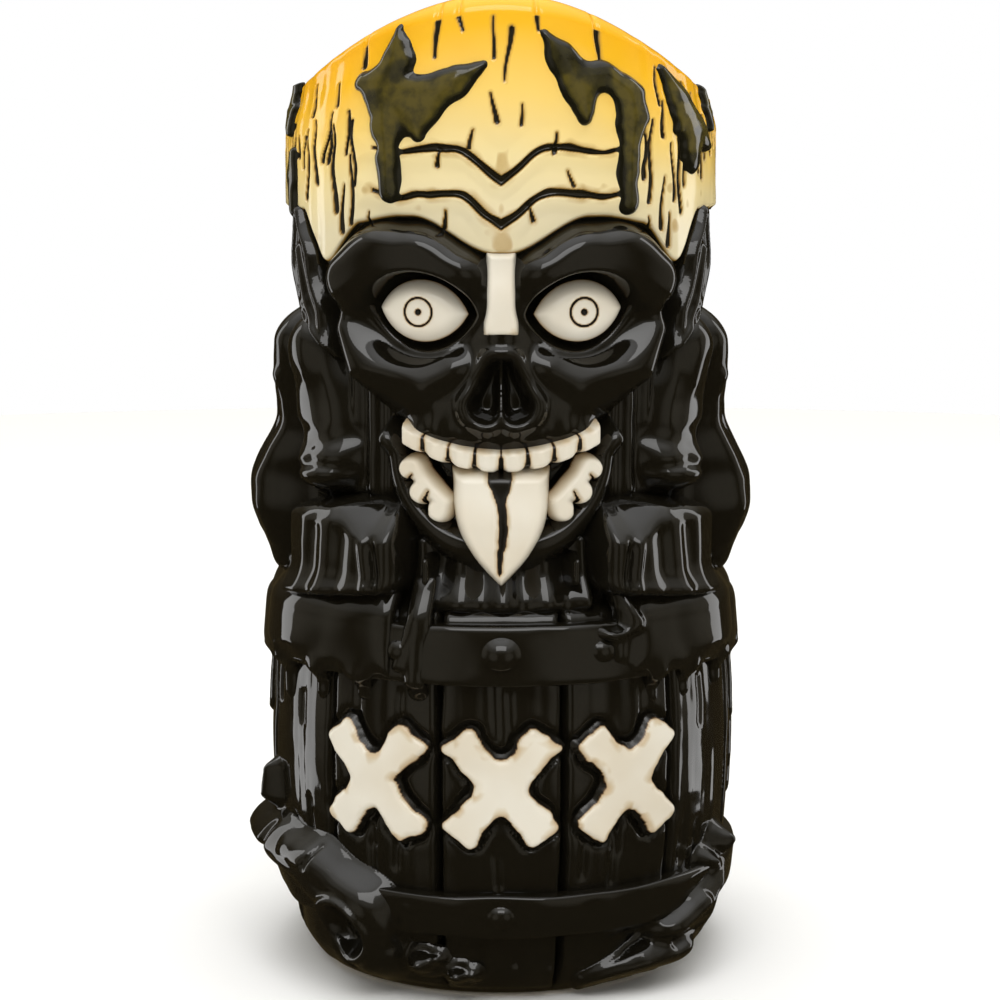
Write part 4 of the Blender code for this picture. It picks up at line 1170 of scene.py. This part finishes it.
def barrel_runs():
    """Glaze that has slumped from the hands over the upper hoop, with drips on down the staves."""
    for node, ((side, start, seed), chains) in BARREL_RUNS.items():
        def shape(u, v, chains=chains, side=side, start=start, seed=seed):
            found = union(1.2, (chain(u, v, points, 1.0) for points in chains))
            if start:
                found = blend(found, apron(side * u, v, start, seed), 2.2)
            top = 75.2 - 2.2 * smooth(np.abs(u), 70, 88) + 0.5 * noise(u / 5, 0 * u, 82)
            return np.maximum(found, v - top) + 0.22 * noise(u / 2, v / 3, 81)

        def height(u, v, d):
            m = np.abs(u)
            step = HOOP_THICKNESS * smooth(v, UPPER_HOOP[0] - 2.6, UPPER_HOOP[0] + 0.6) * (1 - 0.3 * smooth(m, 38, 52))
            swell = 0.9 * bump(ellipse(m, v, (43, 65.5), (6, 5)), 6) + 0.30 * noise(u / 7, v / 6, 89)
            thin = 1.3 * smooth(m, 44, 54)
            curl = 1.3 * bump(chain(u, v, [(20.6, 71.5, 0.2), (21.6, 66.8, 0.5), (17.6, 65.0, 0.2)], 1), 1.6)
            return rounded(d, 3.4, 1.3, 0.4) + step + (swell - thin) * smooth(-d, 0.5, 3) + curl * smooth(-d, 0, 0.8)

        def ground(v):
            return stave_radius(np.minimum(v, BARREL_TOP - 3)) - 3.6 * smooth(v, BARREL_TOP - 2.5, BARREL_TOP + 5.5)

        us = [point[0] for points in chains for point in points]
        low, high = min(us) - 6, max(us) + 6
        if start:
            low, high = (-94, high) if side < 0 else (low, 94)
        relief(node, shape, height, ground, (low, 22, high, 78), GLAZE, 0.38, 4, 0.4)


# ---------------------------------------------------------------- studio


def aim(thing, location, target):
    thing.location = location
    thing.rotation_euler = (Vector(target) - Vector(location)).to_track_quat("-Z", "Y").to_euler()


def area(name, location, target, size, power):
    data = bpy.data.lights.new(name, "AREA")
    data.shape, data.size, data.size_y = "RECTANGLE", size[0], size[1]
    data.energy = power
    light = bpy.data.objects.new(name, data)
    bpy.context.scene.collection.objects.link(light)
    aim(light, location, target)
    return light


def floor():
    """A pale floor. It isn't mirrored in the glaze: the room in front of the mug is dark there."""
    bpy.ops.mesh.primitive_circle_add(vertices=96, radius=0.9, fill_type="NGON", location=(0, 0, -0.0003))
    made = bpy.context.object
    made.name = "studio_floor"
    paper = Glaze("studio_paper", 0.9, 0.1)
    paper.shader.inputs["Base Color"].default_value = (0.92, 0.92, 0.915, 1)
    made.data.materials.append(paper.material)
    made.visible_glossy = False


PANELS = ((0.62, -0.78, 0.02), (-0.62, -0.78, 0.02), (0.98, 0.1, 0.15), (-0.98, 0.1, 0.15))
CAMERA_PITCH = 8.75  # degrees below level


def room():
    """White where the camera sees it. The glaze mirrors a soft room, dark below, with four dim panels."""
    world = bpy.data.worlds.new("studio")
    bpy.context.scene.world = world
    world.use_nodes = True
    w = Wiring(world.node_tree)
    facing = w.node("TexCoord").outputs["Generated"]
    split = w.node("SeparateXYZ")
    w.wire(facing, split.inputs[0])
    total = w.ramp(split.outputs["Z"], (0.0, (0.030, 0.022, 0.010)), (0.32, (0.055, 0.046, 0.030)),
                   (0.60, (0.28, 0.27, 0.24)), (0.82, (0.68, 0.67, 0.64)), (1.0, (1, 1, 1)), interpolation="EASE")
    for direction in PANELS:
        panel = w.node("VectorMath", operation="DOT_PRODUCT")
        panel.inputs[1].default_value = direction
        w.wire(facing, panel.inputs[0])
        glow = w.ramp(panel.outputs["Value"], (0.86, (0, 0, 0)), (0.99, (0.17, 0.16, 0.135)), interpolation="EASE")
        total = w.mix(1.0, total, glow, "ADD")
    mirrored = w.tree.nodes["Background"]
    w.wire(total, mirrored.inputs["Color"])
    w.wire(1.7, mirrored.inputs["Strength"])
    seen = w.node("Background")
    w.wire((1, 1, 1), seen.inputs["Color"])
    w.wire(1.0, seen.inputs["Strength"])
    either = w.node("MixShader")
    w.wire(w.node("LightPath").outputs["Is Camera Ray"], either.inputs["Fac"])
    w.wire(mirrored.outputs[0], either.inputs[1])
    w.wire(seen.outputs[0], either.inputs[2])
    w.wire(either.outputs[0], w.tree.nodes["World Output"].inputs["Surface"])


def studio():
    scene = bpy.context.scene
    scene.view_settings.view_transform = "Standard"
    room()
    floor()
    area("softbox_front", (0, -0.75, 0.95), (0, 0, 0.10), (0.9, 0.5), 4.0)
    area("strip_left", (-0.70, 0.30, 0.22), (0, 0, 0.09), (0.22, 0.9), 1.3)
    area("strip_right", (0.70, 0.30, 0.22), (0, 0, 0.09), (0.22, 0.9), 1.3)
    area("floor_light", (0, 0.0, 2.0), (0, 0, 0), (1.5, 1.5), 12).visible_glossy = False
    area("front_fill", (0, -1.3, 0.35), (0, 0, 0.09), (0.9, 0.9), 1.9).visible_glossy = False
    data = bpy.data.cameras.new("camera")
    data.lens, data.sensor_width = 94.0, 36.0
    camera = bpy.data.objects.new("camera", data)
    scene.collection.objects.link(camera)
    camera.location = (-0.0002, -0.50, 0.160 + LIFT * MM)
    camera.rotation_euler = (math.radians(90 - CAMERA_PITCH), 0, 0)
    scene.camera = camera


def main():
    vessel()
    staves()
    hoop("upper_hoop", UPPER_HOOP, 91)
    hoop("lower_hoop", LOWER_HOOP, 95)
    for node in sorted(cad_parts):
        if "_rivet_" in node:
            rivet(node)
    for node, centre, middle in cross_places():
        cross(node, centre, middle)
    for build in (crown, face, eyes, nose_bridge, teeth, jaw, tongue, neck, ears, arms, hands, claws, crown_runs,
                  barrel_runs, studio):
        build()


main()
